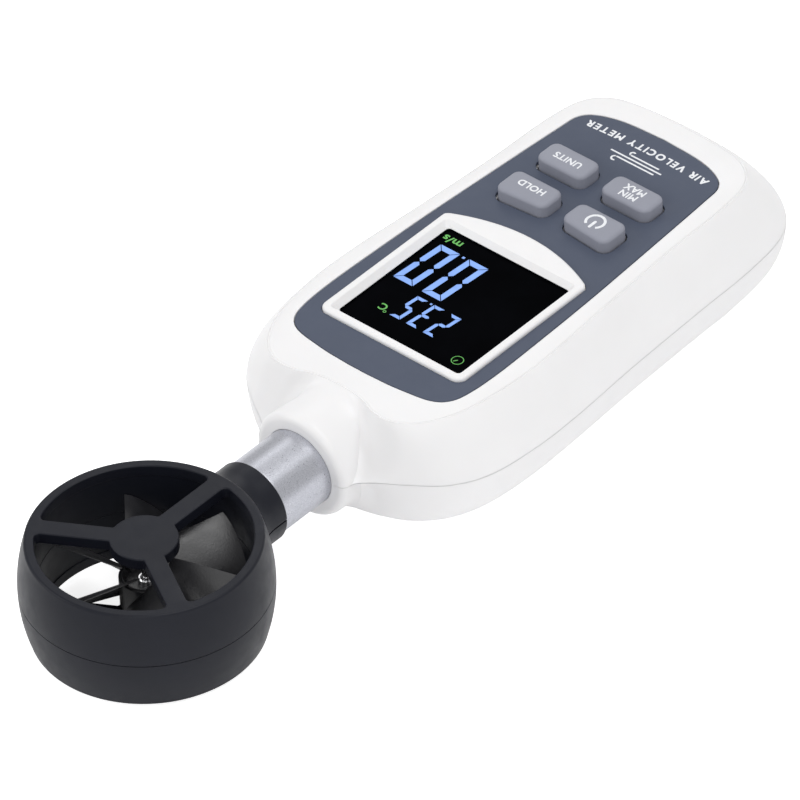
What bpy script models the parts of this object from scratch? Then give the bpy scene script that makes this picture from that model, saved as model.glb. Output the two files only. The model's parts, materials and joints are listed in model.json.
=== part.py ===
"""Hand-held vane anemometer, resting on its back: 165 mm long, 55 mm wide, 24 mm high.

+X is across the body, +Y runs from the vane head to the tail, +Z comes out of the display.
The origin is on the flat back, under the middle of the display window.
Lengths below are in millimetres. mm() and mesh_object() turn them into metres.
"""

import math

import bmesh
import bpy
from mathutils import Matrix, Vector

METRES_PER_MM = 0.001
SMOOTH_ANGLE = math.radians(35)

# Body shell
AXIS_Z = 10.5  # parting plane of the case, and axis of the neck
PANEL_Z = 21.5  # face of the grey panel
CREASE_Z = 21.1  # crease between the deck and the shoulder
POCKET_Z = 20.6  # floor of the panel's pocket
DECK_UNDER_Z = 18.8
WALL = 1.9
BACK_WALL = 1.5
GAP = 0.3  # clearance between neighbours
PARTING_GAP = 0.2
PANEL_GAP = 0.25  # round the edges of the grey panel
THROUGH_DECK = (16, 23)  # heights that every hole in the deck is cut between

# Collar, sleeve and neck, all on the axis x = 0, z = AXIS_Z
COLLAR_R = 9.85
COLLAR_MOUTH_Y = -39.6
COLLAR_LIP_R = 1.4
LIP_STEPS = 3
SLEEVE_R = 7.05
SLEEVE_BORE_R = 6.2
SLEEVE_HEAD_Y = -50.8
SLEEVE_TAIL_Y = -34.6
BORE_END_Y = -34.3
NECK_R = 7.5
NECK_TUBE_R = 5.6
NECK_BORE_R = 4.4
NECK_TAIL_Y = -30.4
FLANGE_Y = -32.2
FLANGE_R = 6.8

# Vane head
VANE_Y = -77.1
VANE_R = 21.2
RIM_R = 19.8
DUCT_R = 18.15
HEAD_HALF = 9.5
GUARD_HUB_R = 5.75
GUARD_THICK = 2.0
ARM_WIDTH = 3.5
ARM_ANGLES = (90, 210, 330)
BEARING_BOSS_R = 3.2
BEARING_R = 1.8
BEARING_BORE_R = 1.05
SHAFT_R = 0.75
HUB_R = 4.6
BLADE_TIP_R = 17.0
BLADE_COUNT = 6
BLADE_THICK = 0.6
BLADE_CAMBER = 0.7
BLADE_START = math.radians(7)
BUSH_R = 1.4  # of the hole in the wheel
BUSH_RIM_R = 1.35
BUSH_BORE_R = 0.8

# Display
WINDOW_HALF = (14.4, 14.9)
OPENING_HALF = (13.2, 13.6)  # of the display frame, next to the window
LIP_HALF = (14.3, 14.7)  # of the display frame, at its face
CASE_OPENING_HALF = (14.7, 15.2)
BEZEL_X = 15.65
BEZEL_HEAD = 16.75
BEZEL_CORNER_R = 1.8
ARCH_X = 15.0
ARCH_FOOT_Y = 15.9
ARCH_RISE = 3.6
BEZEL_TOP_Z = 22.1
BEZEL_UNDER_Z = 21.0
GLASS_Z = 20.7

# Keys
KEY_TOP_Z = 24.0
KEY_FOOT_Z = 17.9
KEY_HALF_WIDTH = 5.2
KEY_X = 7.06
KEY_ROWS = {"lower": 27.75, "upper": 37.45}
KEYS = (  # name, row, side
    ("power_button", "lower", 1),
    ("hold_button", "lower", -1),
    ("min_max_button", "upper", 1),
    ("units_button", "upper", -1),
)
KEY_HALF_LENGTH = 2.75
KEY_SLANT = 0.9
KEY_CORNER_R = 1.6

# Boards and battery bay
BOARD_UNDER_Z = 14.0
BOARD_TOP_Z = 15.2
BAY_X = 16.8
BAY_Y = (3.5, 52.7)
BAY_WALL = 0.8
BAY_ROOF_Z = 12.5
DOOR_X = 16.6
DOOR_Y = (2.6, 53.6)
DOOR_THICK = 1.2
CELL_R = 5.25
CELL_LENGTH = 43.4
CELL_PITCH = 11.0
CELL_Z = 6.9
TERMINAL = 0.8
SPRING_LENGTH = 2.3
PLATE_THICK = 0.4
SCREWS = {"1": (-17.4, -17.5), "2": (17.4, -17.5), "3": (-19.9, 44.0), "4": (19.9, 44.0)}
SCREW_SEAT_Z = 4.5
BOSS_SPANS = {"1": (1.0, 19.2), "2": (1.0, 19.2), "3": (3.4, 17.0), "4": (3.4, 17.0)}

# Half outlines from the tail, x = 0, round to the neck, x = 0. Every list has the same count.
WIDEST = (
    (0, 67), (11, 66), (19.2, 62.7), (23.5, 56.4), (25.1, 46), (25.5, 33), (26.2, 15),
    (27.2, 0), (27.3, -11), (26, -21.1), (22.5, -27.6), (17.3, -31.8), (12.6, -34.9),
    (10.4, -36.9),
)
CREASE = (
    (0, 59.4), (8, 59.1), (14.2, 57.8), (18.2, 53.8), (19.5, 46), (19.8, 33), (20.9, 15),
    (22, 0), (22, -10), (20.6, -20.2), (17.7, -27), (13.4, -30.6), (9, -30.8),
    (6.4, -29.9), (4.6, -29.4), (2.4, -29.1), (0, -29),
)
PANEL = (
    (0, 54.1), (8, 53.6), (12.9, 52.2), (15.5, 49.8), (16.1, 45), (17, 31), (18, 14),
    (18.5, 0), (18.7, -11), (18.2, -18), (16.9, -21.3), (14.2, -23), (9.4, -23.8),
    (6.5, -24.1), (4.2, -24.2), (2, -24.3), (0, -24.3),
)
BACK = (
    (0, 60), (9, 59.2), (14, 56.8), (17, 52), (17.9, 44), (18.2, 33), (18.8, 15),
    (19.5, 0), (19.9, -10), (19.3, -18.6), (17.4, -24.2), (14, -28), (10, -30.3),
    (7.5, -31.4), (5, -32), (2.4, -32.3), (0, -32.4),
)
NECK_BLEND = (0, 0, 0, 0, 0, 0, 0, 0, 0, 0, 0, 0.15, 0.45, 0.85, 1, 1, 1)
SPAN_STEPS = 2
SHOULDER_STEPS = 5
MOUTH_INDEX = len(WIDEST) * SPAN_STEPS  # where a rim leaves the outline for the collar's mouth


def mm(x, y, z):
    """A point in millimetres, as a vector in metres."""
    return Vector((x, y, z)) * METRES_PER_MM


def clear_scene():
    for obj in list(bpy.data.objects):
        bpy.data.objects.remove(obj, do_unlink=True)


# ---------------------------------------------------------------- materials


def material(name, colour, roughness, metallic=0.0):
    found = bpy.data.materials.get(name)
    if found:
        return found
    made = bpy.data.materials.new(name)
    made.use_nodes = True
    shader = made.node_tree.nodes["Principled BSDF"]
    shader.inputs["Base Color"].default_value = (*colour, 1)
    shader.inputs["Roughness"].default_value = roughness
    shader.inputs["Metallic"].default_value = metallic
    return made


def white_plastic():
    return material("white_plastic", (0.86, 0.85, 0.84), 0.38)


def black_plastic():
    return material("black_plastic", (0.03, 0.03, 0.035), 0.45)


def panel_grey():
    return material("panel_grey", (0.10, 0.12, 0.15), 0.5)


def key_grey():
    return material("key_grey", (0.29, 0.30, 0.33), 0.55)


def window_black():
    return material("window_black", (0.005, 0.005, 0.008), 0.08)


def satin_metal():
    return material("satin_metal", (0.6, 0.62, 0.66), 0.35, 1.0)


def steel():
    return material("steel", (0.62, 0.62, 0.62), 0.3, 1.0)


def brass():
    return material("brass", (0.72, 0.5, 0.2), 0.3, 1.0)


def board_green():
    return material("board_green", (0.02, 0.16, 0.07), 0.5)


def cell_blue():
    return material("cell_blue", (0.05, 0.12, 0.3), 0.4)


def cream_plastic():
    return material("cream_plastic", (0.75, 0.75, 0.7), 0.4)


# ---------------------------------------------------------------- mesh tools


def place(obj, origin):
    """Moves the object's origin to this point, in metres, and leaves its shape where it is."""
    obj.data.transform(Matrix.Translation(-origin))
    obj.location = origin


def mesh_object(name, bm, look, origin=None):
    """One object from a bmesh whose coordinates are in millimetres."""
    bmesh.ops.recalc_face_normals(bm, faces=bm.faces)
    bmesh.ops.scale(bm, vec=(METRES_PER_MM,) * 3, verts=bm.verts)
    data = bpy.data.meshes.new(name)
    bm.to_mesh(data)
    bm.free()
    data.materials.append(look)
    data.shade_smooth()
    data.set_sharp_from_angle(angle=SMOOTH_ANGLE)
    obj = bpy.data.objects.new(name, data)
    bpy.context.scene.collection.objects.link(obj)
    if origin is not None:
        place(obj, origin)
    return obj


def helper(obj):
    """Marks an object as a cutting or joining tool."""
    obj.hide_render = True
    obj.display_type = "WIRE"
    return obj


def boolean(target, tool, operation="DIFFERENCE"):
    helper(tool)
    step = target.modifiers.new(f"{operation.lower()}_{tool.name}", "BOOLEAN")
    step.operation = operation
    step.object = tool
    step.solver = "EXACT"


def loft(rings, closed_end=True, split=None):
    """A bmesh through rings of equal count. The ends are capped, or joined to each other.
    A first ring that is bent at the points split and -split gets a cap on each side of the bend."""
    bm = bmesh.new()
    rows = [[bm.verts.new(point) for point in ring] for ring in rings]
    pairs = list(zip(rows, rows[1:]))
    if not closed_end:
        pairs.append((rows[-1], rows[0]))
    for lower, upper in pairs:
        count = len(lower)
        for i in range(count):
            j = (i + 1) % count
            bm.faces.new((lower[i], lower[j], upper[j], upper[i]))
    if closed_end:
        bm.faces.new(rows[-1])
        if split is None:
            bm.faces.new(rows[0])
        else:
            bm.faces.new(rows[0][split : -split + 1])
            bm.faces.new(rows[0][-split:] + rows[0][: split + 1])
    return bm


def circle(radius, z, count):
    turn = 2 * math.pi / count
    return [(radius * math.cos(i * turn), radius * math.sin(i * turn), z) for i in range(count)]


def turned(profile, count=48):
    """A solid of revolution about Z from (radius, z) points, capped at both ends."""
    return loft([circle(radius, z, count) for radius, z in profile])


def turned_ring(profile, count=48):
    """A solid of revolution about Z whose (radius, z) profile closes on itself."""
    return loft([circle(radius, z, count) for radius, z in profile], closed_end=False)


def along_y(bm):
    """Turns a solid made about Z so that its +Z becomes +Y."""
    bmesh.ops.rotate(bm, matrix=Matrix.Rotation(math.radians(-90), 3, "X"), verts=bm.verts)
    return bm


def moved(bm, x=0.0, y=0.0, z=0.0):
    bmesh.ops.translate(bm, vec=(x, y, z), verts=bm.verts)
    return bm


def prism(outline, z0, z1):
    return loft([[(x, y, z) for x, y in outline] for z in (z0, z1)])


def box(x0, x1, y0, y1, z0, z1):
    return prism([(x0, y0), (x1, y0), (x1, y1), (x0, y1)], z0, z1)


def rounded(corners, radius, steps=4):
    """An outline of straight sides whose corners are arcs of this radius."""
    points = []
    count = len(corners)
    for i, corner in enumerate(corners):
        here = Vector(corner)
        to_last = (Vector(corners[i - 1]) - here).normalized()
        to_next = (Vector(corners[(i + 1) % count]) - here).normalized()
        half = to_last.angle(to_next) / 2
        centre = here + (to_last + to_next).normalized() * (radius / math.sin(half))
        start = here + to_last * (radius / math.tan(half)) - centre
        end = here + to_next * (radius / math.tan(half)) - centre
        turn = math.atan2(end.y, end.x) - math.atan2(start.y, start.x)
        sweep = (turn + math.pi) % (2 * math.pi) - math.pi
        for k in range(steps + 1):
            points.append(tuple(centre + Matrix.Rotation(sweep * k / steps, 2) @ start))
    return points


def rectangle(half_x, half_y, centre=(0, 0)):
    x, y = centre
    signs = ((-1, -1), (1, -1), (1, 1), (-1, 1))
    return [(x + sx * half_x, y + sy * half_y) for sx, sy in signs]


def grown(outline, distance):
    """The outline, counter-clockwise, moved outward by this distance along its normals."""
    points = [Vector(point[:2]) for point in outline]
    found = []
    for i, point in enumerate(points):
        along = points[(i + 1) % len(points)] - points[i - 1]
        outward = Vector((along.y, -along.x)).normalized()
        found.append(tuple(point + outward * distance))
    return found


# ---------------------------------------------------------------- body surface


def spline(points, steps):
    """A Catmull-Rom curve through the points, with this many steps to each span."""
    first = 2 * points[0] - points[1]
    last = 2 * points[-1] - points[-2]
    knots = [first, *points, last]
    curve = []
    for i in range(1, len(knots) - 2):
        a, b, c, d = knots[i - 1 : i + 3]
        for k in range(steps):
            t = k / steps
            bend = (2 * a - 5 * b + 4 * c - d) * t**2 + (3 * b - a - 3 * c + d) * t**3
            curve.append(0.5 * (2 * b + (c - a) * t + bend))
    curve.append(points[-1].copy())
    return curve


def whole_ring(half):
    """The half curve, from the tail to the neck on +X, and its mirror image back again."""
    back = [Vector((-p.x, *p[1:])) for p in reversed(half[1:-1])]
    return half + back


def ring_at(points, z):
    return whole_ring(spline([Vector((x, y, z)) for x, y in points], SPAN_STEPS))


def widest_ring(side):
    """The rim of one half of the case: its widest outline, then half of the collar's mouth."""
    z = AXIS_Z + side * PARTING_GAP / 2
    points = [Vector((x, y, z)) for x, y in (*WIDEST, (COLLAR_R, COLLAR_MOUTH_Y + COLLAR_LIP_R))]
    half = spline(points, SPAN_STEPS)
    steps = 2 * SPAN_STEPS
    for k in range(1, steps + 1):
        turn = math.pi / 2 * k / steps
        height = side * COLLAR_R * math.sin(turn)
        half.append(Vector((COLLAR_R * math.cos(turn), COLLAR_MOUTH_Y + COLLAR_LIP_R, z + height)))
    return whole_ring(half)


def skin(rim, edge, rise, lift, lean, reach):
    """Rings from the rim to the edge. A Bezier leaves the rim upright, or along the neck where
    the blend is 1, and meets the edge at the slope given by lean."""
    rings = []
    half_blend = [point.x for point in spline([Vector((value, 0)) for value in NECK_BLEND], SPAN_STEPS)]
    blends = half_blend + half_blend[-2:0:-1]
    for k in range(SHOULDER_STEPS + 1):
        t = k / SHOULDER_STEPS
        ring = []
        for start, end, blend in zip(rim, edge, blends):
            leave = Vector((0, blend, rise * (1 - blend))).normalized() * lift
            inward = Vector((end.x - start.x, end.y - start.y, 0)).normalized()
            arrive = (inward * math.cos(lean) + Vector((0, 0, rise * math.sin(lean)))) * reach
            a = start + leave
            b = end - arrive
            u = 1 - t
            ring.append(u**3 * start + 3 * t * u**2 * a + 3 * t**2 * u * b + t**3 * end)
        rings.append(ring)
    return rings


def clockwise(outline):
    area = 0.0
    for i, (x, y) in enumerate(outline):
        last_x, last_y = outline[i - 1][:2]
        area += last_x * y - x * last_y
    return area < 0


def round_lip(bm, side):
    """Carries the flat end of the collar forward and closes it as a rounded lip."""
    end = min(bm.faces, key=lambda face: face.calc_center_median().y)
    ring = list(end.verts)
    start = [vert.co.copy() for vert in ring]
    bm.faces.remove(end)
    seam_z = AXIS_Z + side * PARTING_GAP / 2
    for k in range(1, LIP_STEPS + 1):
        turn = math.pi / 2 * k / LIP_STEPS
        share = 1 - COLLAR_LIP_R * (1 - math.cos(turn)) / COLLAR_R
        y = COLLAR_MOUTH_Y + COLLAR_LIP_R * (1 - math.sin(turn))
        inner = [bm.verts.new((p.x * share, y, seam_z + (p.z - seam_z) * share)) for p in start]
        for i, vert in enumerate(inner):
            bm.faces.new((ring[i - 1], ring[i], vert, inner[i - 1]))
        ring = inner
    bm.faces.new(ring)
    return bm


def hollow_ring(points, distance, z, neck_y):
    """An outline of the case moved inward, and closed by a wall across the neck end."""
    body = points[:11]
    mirrored = [(-body[1][0], body[1][1]), *body, points[11]]
    half = []
    for last, here, following in zip(mirrored, mirrored[1:], mirrored[2:]):
        along = Vector(following) - Vector(last)
        inward = Vector((along.y, -along.x)).normalized()
        half.append(Vector((*(Vector(here) + inward * distance), z)))
    for x, rise in ((13, 1.2), (7, 0.1), (0, 0)):
        half.append(Vector((x, neck_y + rise, z)))
    return whole_ring(spline(half, SPAN_STEPS))


def hollow(name, near_z, far, far_z, far_inset):
    """The space inside one half of the case."""
    rim = hollow_ring(WIDEST, WALL, near_z, -32.2)
    middle = hollow_ring(WIDEST, WALL + 1.2, (near_z + far_z) / 2, -31.5)
    end = hollow_ring(far, far_inset, far_z, -27.5)
    return mesh_object(name, loft([rim, middle, end]), white_plastic())


# ---------------------------------------------------------------- case


def key_outline(row, side, growth=0.0):
    """A key seen from the front. The keys next to the display follow its arched frame."""
    centre_y = KEY_ROWS[row]
    x0 = side * (KEY_X - KEY_HALF_WIDTH)
    x1 = side * (KEY_X + KEY_HALF_WIDTH)
    drop = KEY_SLANT if row == "lower" else 0.0
    low = centre_y - KEY_HALF_LENGTH
    high = centre_y + KEY_HALF_LENGTH
    corners = [(x0, low), (x1, low - drop), (x1, high), (x0, high)]
    if side < 0:
        corners.reverse()
    return grown(rounded(corners, KEY_CORNER_R, 3), growth)


def bezel_outline(growth=0.0):
    """The display frame: straight on three sides, arched towards the keys."""
    corners = rounded(rectangle(BEZEL_X, BEZEL_HEAD), BEZEL_CORNER_R, 3)
    head = [point for point in corners if point[1] < 0]
    left_end = [point for point in head if point[0] < 0]
    right_end = [point for point in head if point[0] > 0]
    arch = []
    steps = 12
    for k in range(steps + 1):
        across = 1 - 2 * k / steps
        arch.append((ARCH_X * across, ARCH_FOOT_Y + ARCH_RISE * (1 - across**2)))
    shoulder_y = ARCH_FOOT_Y - 0.7
    side_tops = ((BEZEL_X, shoulder_y), (-BEZEL_X, shoulder_y))
    return grown([*left_end, *right_end, side_tops[0], *arch, side_tops[1]], growth)


def bosses(side):
    """(name, solid) of the posts that the case screws clamp."""
    for number, (x, y) in SCREWS.items():
        low, high = BOSS_SPANS[number]
        if side > 0:
            post = turned([(2.2, AXIS_Z + 0.4), (2.2, high)], 16)
        else:
            post = turned([(2.8, low), (2.8, AXIS_Z - PARTING_GAP)], 16)
        yield f"boss_{number}_{side}", moved(post, x, y)


def make_front_case():
    rim = widest_ring(1)
    crease = ring_at(CREASE, CREASE_Z)
    rings = skin(rim, crease, 1, lift=3.6, lean=math.radians(40), reach=2.0)
    rings += [ring_at(PANEL, PANEL_Z), ring_at(PANEL, POCKET_Z)]
    case = mesh_object("front_case", round_lip(loft(rings, split=MOUTH_INDEX), 1), white_plastic())
    boolean(case, hollow("front_hollow", AXIS_Z - 1, CREASE, DECK_UNDER_Z, 1.6))
    for name, solid in bosses(1):
        boolean(case, mesh_object(name, solid, white_plastic()), "UNION")
    for number, (x, y) in SCREWS.items():
        pilot = moved(turned([(1.05, AXIS_Z - 1), (1.05, 16.0)], 12), x, y)
        boolean(case, mesh_object(f"front_pilot_{number}", pilot, steel()))
    opening = prism(rounded(rectangle(*CASE_OPENING_HALF), 1.0), *THROUGH_DECK)
    boolean(case, mesh_object("display_opening", opening, steel()))
    for name, row, side in KEYS:
        hole = prism(key_outline(row, side, GAP), *THROUGH_DECK)
        boolean(case, mesh_object(f"{name}_hole", hole, steel()))
    boolean(case, sleeve_bore("front_sleeve_bore"))
    return case


def sleeve_bore(name):
    """The stepped bore of the collar: sleeve seat, throat of the neck tube, room for its flange."""
    throat_end = FLANGE_Y - GAP
    profile = [
        (SLEEVE_R + GAP, COLLAR_MOUTH_Y - 3), (SLEEVE_R + GAP, BORE_END_Y), (NECK_TUBE_R + GAP, BORE_END_Y),
        (NECK_TUBE_R + GAP, throat_end), (FLANGE_R + GAP, throat_end), (FLANGE_R + GAP, NECK_TAIL_Y + 0.6),
    ]
    return mesh_object(name, moved(along_y(turned(profile, 32)), z=AXIS_Z), steel())


def make_rear_case():
    rim = widest_ring(-1)
    back = ring_at(BACK, 0)
    rings = skin(rim, back, -1, lift=6.0, lean=0.0, reach=4.8)
    case = mesh_object("rear_case", round_lip(loft(rings, split=MOUTH_INDEX), -1), white_plastic())
    boolean(case, hollow("rear_hollow", AXIS_Z + 1, BACK, BACK_WALL, 1.2))
    for name, solid in bosses(-1):
        boolean(case, mesh_object(name, solid, white_plastic()), "UNION")
    boolean(case, mesh_object("bay_walls", battery_bay_walls(), white_plastic()), "UNION")
    space = box(-BAY_X, BAY_X, *BAY_Y, DOOR_THICK + 0.2, BAY_ROOF_Z)
    boolean(case, mesh_object("bay_space", space, steel()))
    boolean(case, mesh_object("door_hole", prism(door_outline(GAP), -1, DOOR_THICK + GAP), steel()))
    for number, (x, y) in SCREWS.items():
        profile = [(2.2, -1), (2.2, SCREW_SEAT_Z), (1.3, SCREW_SEAT_Z), (1.3, AXIS_Z + 1)]
        boolean(case, mesh_object(f"screw_well_{number}", moved(turned(profile, 20), x, y), steel()))
    boolean(case, sleeve_bore("rear_sleeve_bore"))
    return case


def battery_bay_walls():
    x = BAY_X + BAY_WALL
    return box(-x, x, BAY_Y[0] - BAY_WALL, BAY_Y[1] + BAY_WALL, 1.0, BAY_ROOF_Z + BAY_WALL)


def door_outline(growth=0.0):
    low, high = DOOR_Y
    return grown(rounded(rectangle(DOOR_X, (high - low) / 2, (0, (low + high) / 2)), 1.7), growth)


def make_battery_door():
    origin = mm(0, sum(DOOR_Y) / 2, DOOR_THICK / 2)
    made = mesh_object("battery_door", prism(door_outline(), 0.05, DOOR_THICK), white_plastic(), origin)
    high = BAY_Y[1]
    latch = box(-4, 4, high - 1.3, high - 0.5, 0.6, 2.2)
    boolean(made, mesh_object("door_latch", latch, white_plastic()), "UNION")
    grip = prism(rounded(rectangle(5, 1.2, (0, high - 4)), 1.1), -1, 0.45)
    boolean(made, mesh_object("door_grip", grip, steel()))
    return made


def make_face_panel():
    outline = [(p.x, p.y) for p in ring_at(PANEL, 0)]
    if clockwise(outline):
        outline.reverse()
    plate = prism(grown(outline, -PANEL_GAP), POCKET_Z + GAP, PANEL_Z - 0.05)
    panel = mesh_object("face_panel", plate, panel_grey())
    display_hole = prism(bezel_outline(PANEL_GAP), *THROUGH_DECK)
    boolean(panel, mesh_object("panel_display_hole", display_hole, steel()))
    for name, row, side in KEYS:
        hole = prism(key_outline(row, side, PANEL_GAP), *THROUGH_DECK)
        boolean(panel, mesh_object(f"{name}_panel_hole", hole, steel()))


def make_display_bezel():
    outer = bezel_outline()
    top = bezel_outline(-0.5)
    levels = ((outer, BEZEL_UNDER_Z), (outer, BEZEL_TOP_Z - 0.4), (top, BEZEL_TOP_Z))
    rings = [[(x, y, z) for x, y in outline] for outline, z in levels]
    bezel = mesh_object("display_bezel", loft(rings), white_plastic())
    inner_foot = (OPENING_HALF, BEZEL_UNDER_Z + 0.2)
    levels = ((OPENING_HALF, 19), inner_foot, (LIP_HALF, BEZEL_TOP_Z), (LIP_HALF, 24))
    cut = [[(x, y, z) for x, y in rounded(rectangle(*half), 0.6)] for half, z in levels]
    boolean(bezel, mesh_object("bezel_opening", loft(cut), steel()))
    return bezel


def make_display_stack():
    window = prism(rounded(rectangle(*WINDOW_HALF), 0.8, 2), GLASS_Z - 1, GLASS_Z)
    mesh_object("display_window", window, window_black())
    mesh_object("lcd_glass", box(-13.8, 13.8, -14.3, 14.3, 17.3, 19.3), window_black())
    mesh_object("backlight", box(-13.8, 13.8, -14.3, 14.3, 15.5, 17.0), cream_plastic())
    flex = box(-9, 9, 14.9, 15.3, 15.6, 18.6)
    mesh_object("lcd_flex_cable", flex, brass())


def make_button(name, row, side):
    """A key with a soft-edged head and a wider foot that stops under the deck."""
    centre = mm(side * KEY_X, KEY_ROWS[row], KEY_FOOT_Z)
    stop = DECK_UNDER_Z - GAP
    top = KEY_TOP_Z
    head = ((0, stop), (0, top - 0.7), (-0.25, top - 0.2), (-0.7, top))
    levels = ((0.6, KEY_FOOT_Z), (0.6, stop), *head)
    rings = [[(x, y, z) for x, y in key_outline(row, side, growth)] for growth, z in levels]
    mesh_object(name, loft(rings), key_grey(), centre)


def make_switch(name, row, side):
    """The tact switch under a key, with its round plunger."""
    x = side * KEY_X
    y = KEY_ROWS[row]
    block = prism(rectangle(2.2, 2.2, (x, y)), BOARD_TOP_Z + GAP, 16.6)
    body = mesh_object(name, block, black_plastic())
    plunger = moved(turned([(1.2, 16.2), (1.2, 16.9)], 16), x, y)
    boolean(body, mesh_object(f"{name}_plunger", plunger, black_plastic()), "UNION")


# ---------------------------------------------------------------- inside the case


def make_main_board():
    outline = rounded([(-14.6, -21), (14.6, -21), (14.6, 54), (-14.6, 54)], 2.0, 2)
    board = mesh_object("main_board", prism(outline, BOARD_UNDER_Z, BOARD_TOP_Z), board_green())
    for x in (-12.5, 12.5):
        hole = moved(turned([(1.3, 13), (1.3, 16)], 12), x, 50)
        boolean(board, mesh_object(f"board_hole_{x}", hole, steel()))
    chip = rectangle(5, 5, (0, -3))
    mesh_object("microcontroller", prism(chip, 12.0, BOARD_UNDER_Z - GAP), black_plastic())
    plug = box(-3.5, 3.5, -20.5, -16.5, 10.8, BOARD_UNDER_Z - GAP)
    mesh_object("sensor_connector", plug, cream_plastic())


def make_screw(name, x, y, head_z, head_r, shank_r, length):
    """A pan-head screw standing along Z with its cross-slotted head at the bottom."""
    head_height = 1.4 * head_r / 2
    profile = [
        (head_r * 0.8, 0), (head_r, head_height * 0.4), (head_r, head_height), (shank_r, head_height),
        (shank_r, length), (shank_r * 0.4, length + 0.6),
    ]
    made = mesh_object(name, moved(turned(profile, 14), x, y, head_z), steel())
    for turn in (0, 90):
        slot = box(-head_r * 0.6, head_r * 0.6, -0.25, 0.25, -0.1, 0.5)
        bmesh.ops.rotate(slot, matrix=Matrix.Rotation(math.radians(turn), 3, "Z"), verts=slot.verts)
        boolean(made, mesh_object(f"{name}_slot_{turn}", moved(slot, x, y, head_z), steel()))


def make_screws():
    for number, (x, y) in SCREWS.items():
        make_screw(f"case_screw_{number}", x, y, 2.6, 1.9, 0.75, 12.0)


def make_cell(name, x, y0, flip):
    """An AAA cell lying along Y from y0, with its raised terminal at the far or the near end."""
    profile = [
        (4.9, 0), (CELL_R, 0.35), (CELL_R, CELL_LENGTH - 0.35), (4.9, CELL_LENGTH),
        (1.9, CELL_LENGTH), (1.9, CELL_LENGTH + TERMINAL),
    ]
    cell = along_y(turned(profile, 24))
    if flip:
        bmesh.ops.rotate(cell, matrix=Matrix.Rotation(math.pi, 3, "Z"), verts=cell.verts)
        cell = moved(cell, y=CELL_LENGTH)
    mesh_object(name, moved(cell, x, y0, CELL_Z), cell_blue())


def make_spring(name, x, y0, y1):
    """A conical contact spring lying along Y, wound from one wire."""
    turns = 3
    steps = 10
    wire_r = 0.28
    rings = []
    total = turns * steps
    for k in range(total + 1):
        turn = 2 * math.pi * k / steps
        radius = 3.4 - 1.2 * k / total
        y = y0 + wire_r + (y1 - y0 - 2 * wire_r) * k / total
        centre = Vector((radius * math.cos(turn), y, radius * math.sin(turn)))
        outward = Vector((math.cos(turn), 0, math.sin(turn)))
        sides = [2 * math.pi * s / 5 for s in range(5)]
        along = Vector((0, 1, 0))
        rings.append([centre + wire_r * (math.cos(a) * outward + math.sin(a) * along) for a in sides])
    mesh_object(name, moved(loft(rings), x, 0, CELL_Z), steel())


def make_batteries():
    """Three cells in series, so the middle one lies the other way round."""
    low = BAY_Y[0] + GAP
    high = BAY_Y[1] - GAP
    for name, y0 in (("head_contact_plate", low), ("tail_contact_plate", high - PLATE_THICK)):
        mesh_object(name, box(-15.8, 15.8, y0, y0 + PLATE_THICK, 2.6, 9.8), steel())
    low += PLATE_THICK + GAP
    high -= PLATE_THICK + GAP
    for number, x in ((1, -CELL_PITCH), (3, CELL_PITCH)):
        make_spring(f"contact_spring_{number}", x, low, low + SPRING_LENGTH)
        make_cell(f"battery_{number}", x, low + SPRING_LENGTH + GAP, False)
    make_spring("contact_spring_2", 0, high - SPRING_LENGTH, high)
    make_cell("battery_2", 0, high - SPRING_LENGTH - GAP - CELL_LENGTH, True)


# ---------------------------------------------------------------- vane head


def barrel():
    """The outside of the barrel: widest half way up, with a rounded rim at each end."""
    steps = 5
    top = HEAD_HALF - 0.5
    upper = []
    for k in range(steps + 1):
        z = top * k / steps
        upper.append((VANE_R - (VANE_R - RIM_R) * (z / top) ** 2, z))
    upper.append((RIM_R - 0.45, HEAD_HALF))
    profile = [(radius, -z) for radius, z in reversed(upper[1:])] + upper
    return moved(turned(profile, 48), 0, VANE_Y, AXIS_Z)


def duct():
    """The bore of the barrel, flared a little at each rim."""
    flare = 0.35
    upper = [(DUCT_R, HEAD_HALF - flare), (DUCT_R + flare, HEAD_HALF), (DUCT_R + flare, HEAD_HALF + 2)]
    profile = [(radius, -z) for radius, z in reversed(upper)] + upper
    return moved(turned(profile, 48), 0, VANE_Y, AXIS_Z)


def neck():
    """The round neck, its thinner tube inside the sleeve, and the flange inside the case."""
    profile = [
        (NECK_R, VANE_Y + 14), (NECK_R, SLEEVE_HEAD_Y - GAP), (NECK_TUBE_R, SLEEVE_HEAD_Y - GAP),
        (NECK_TUBE_R, FLANGE_Y), (FLANGE_R, FLANGE_Y), (FLANGE_R, NECK_TAIL_Y),
    ]
    return moved(along_y(turned(profile, 36)), z=AXIS_Z)


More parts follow.
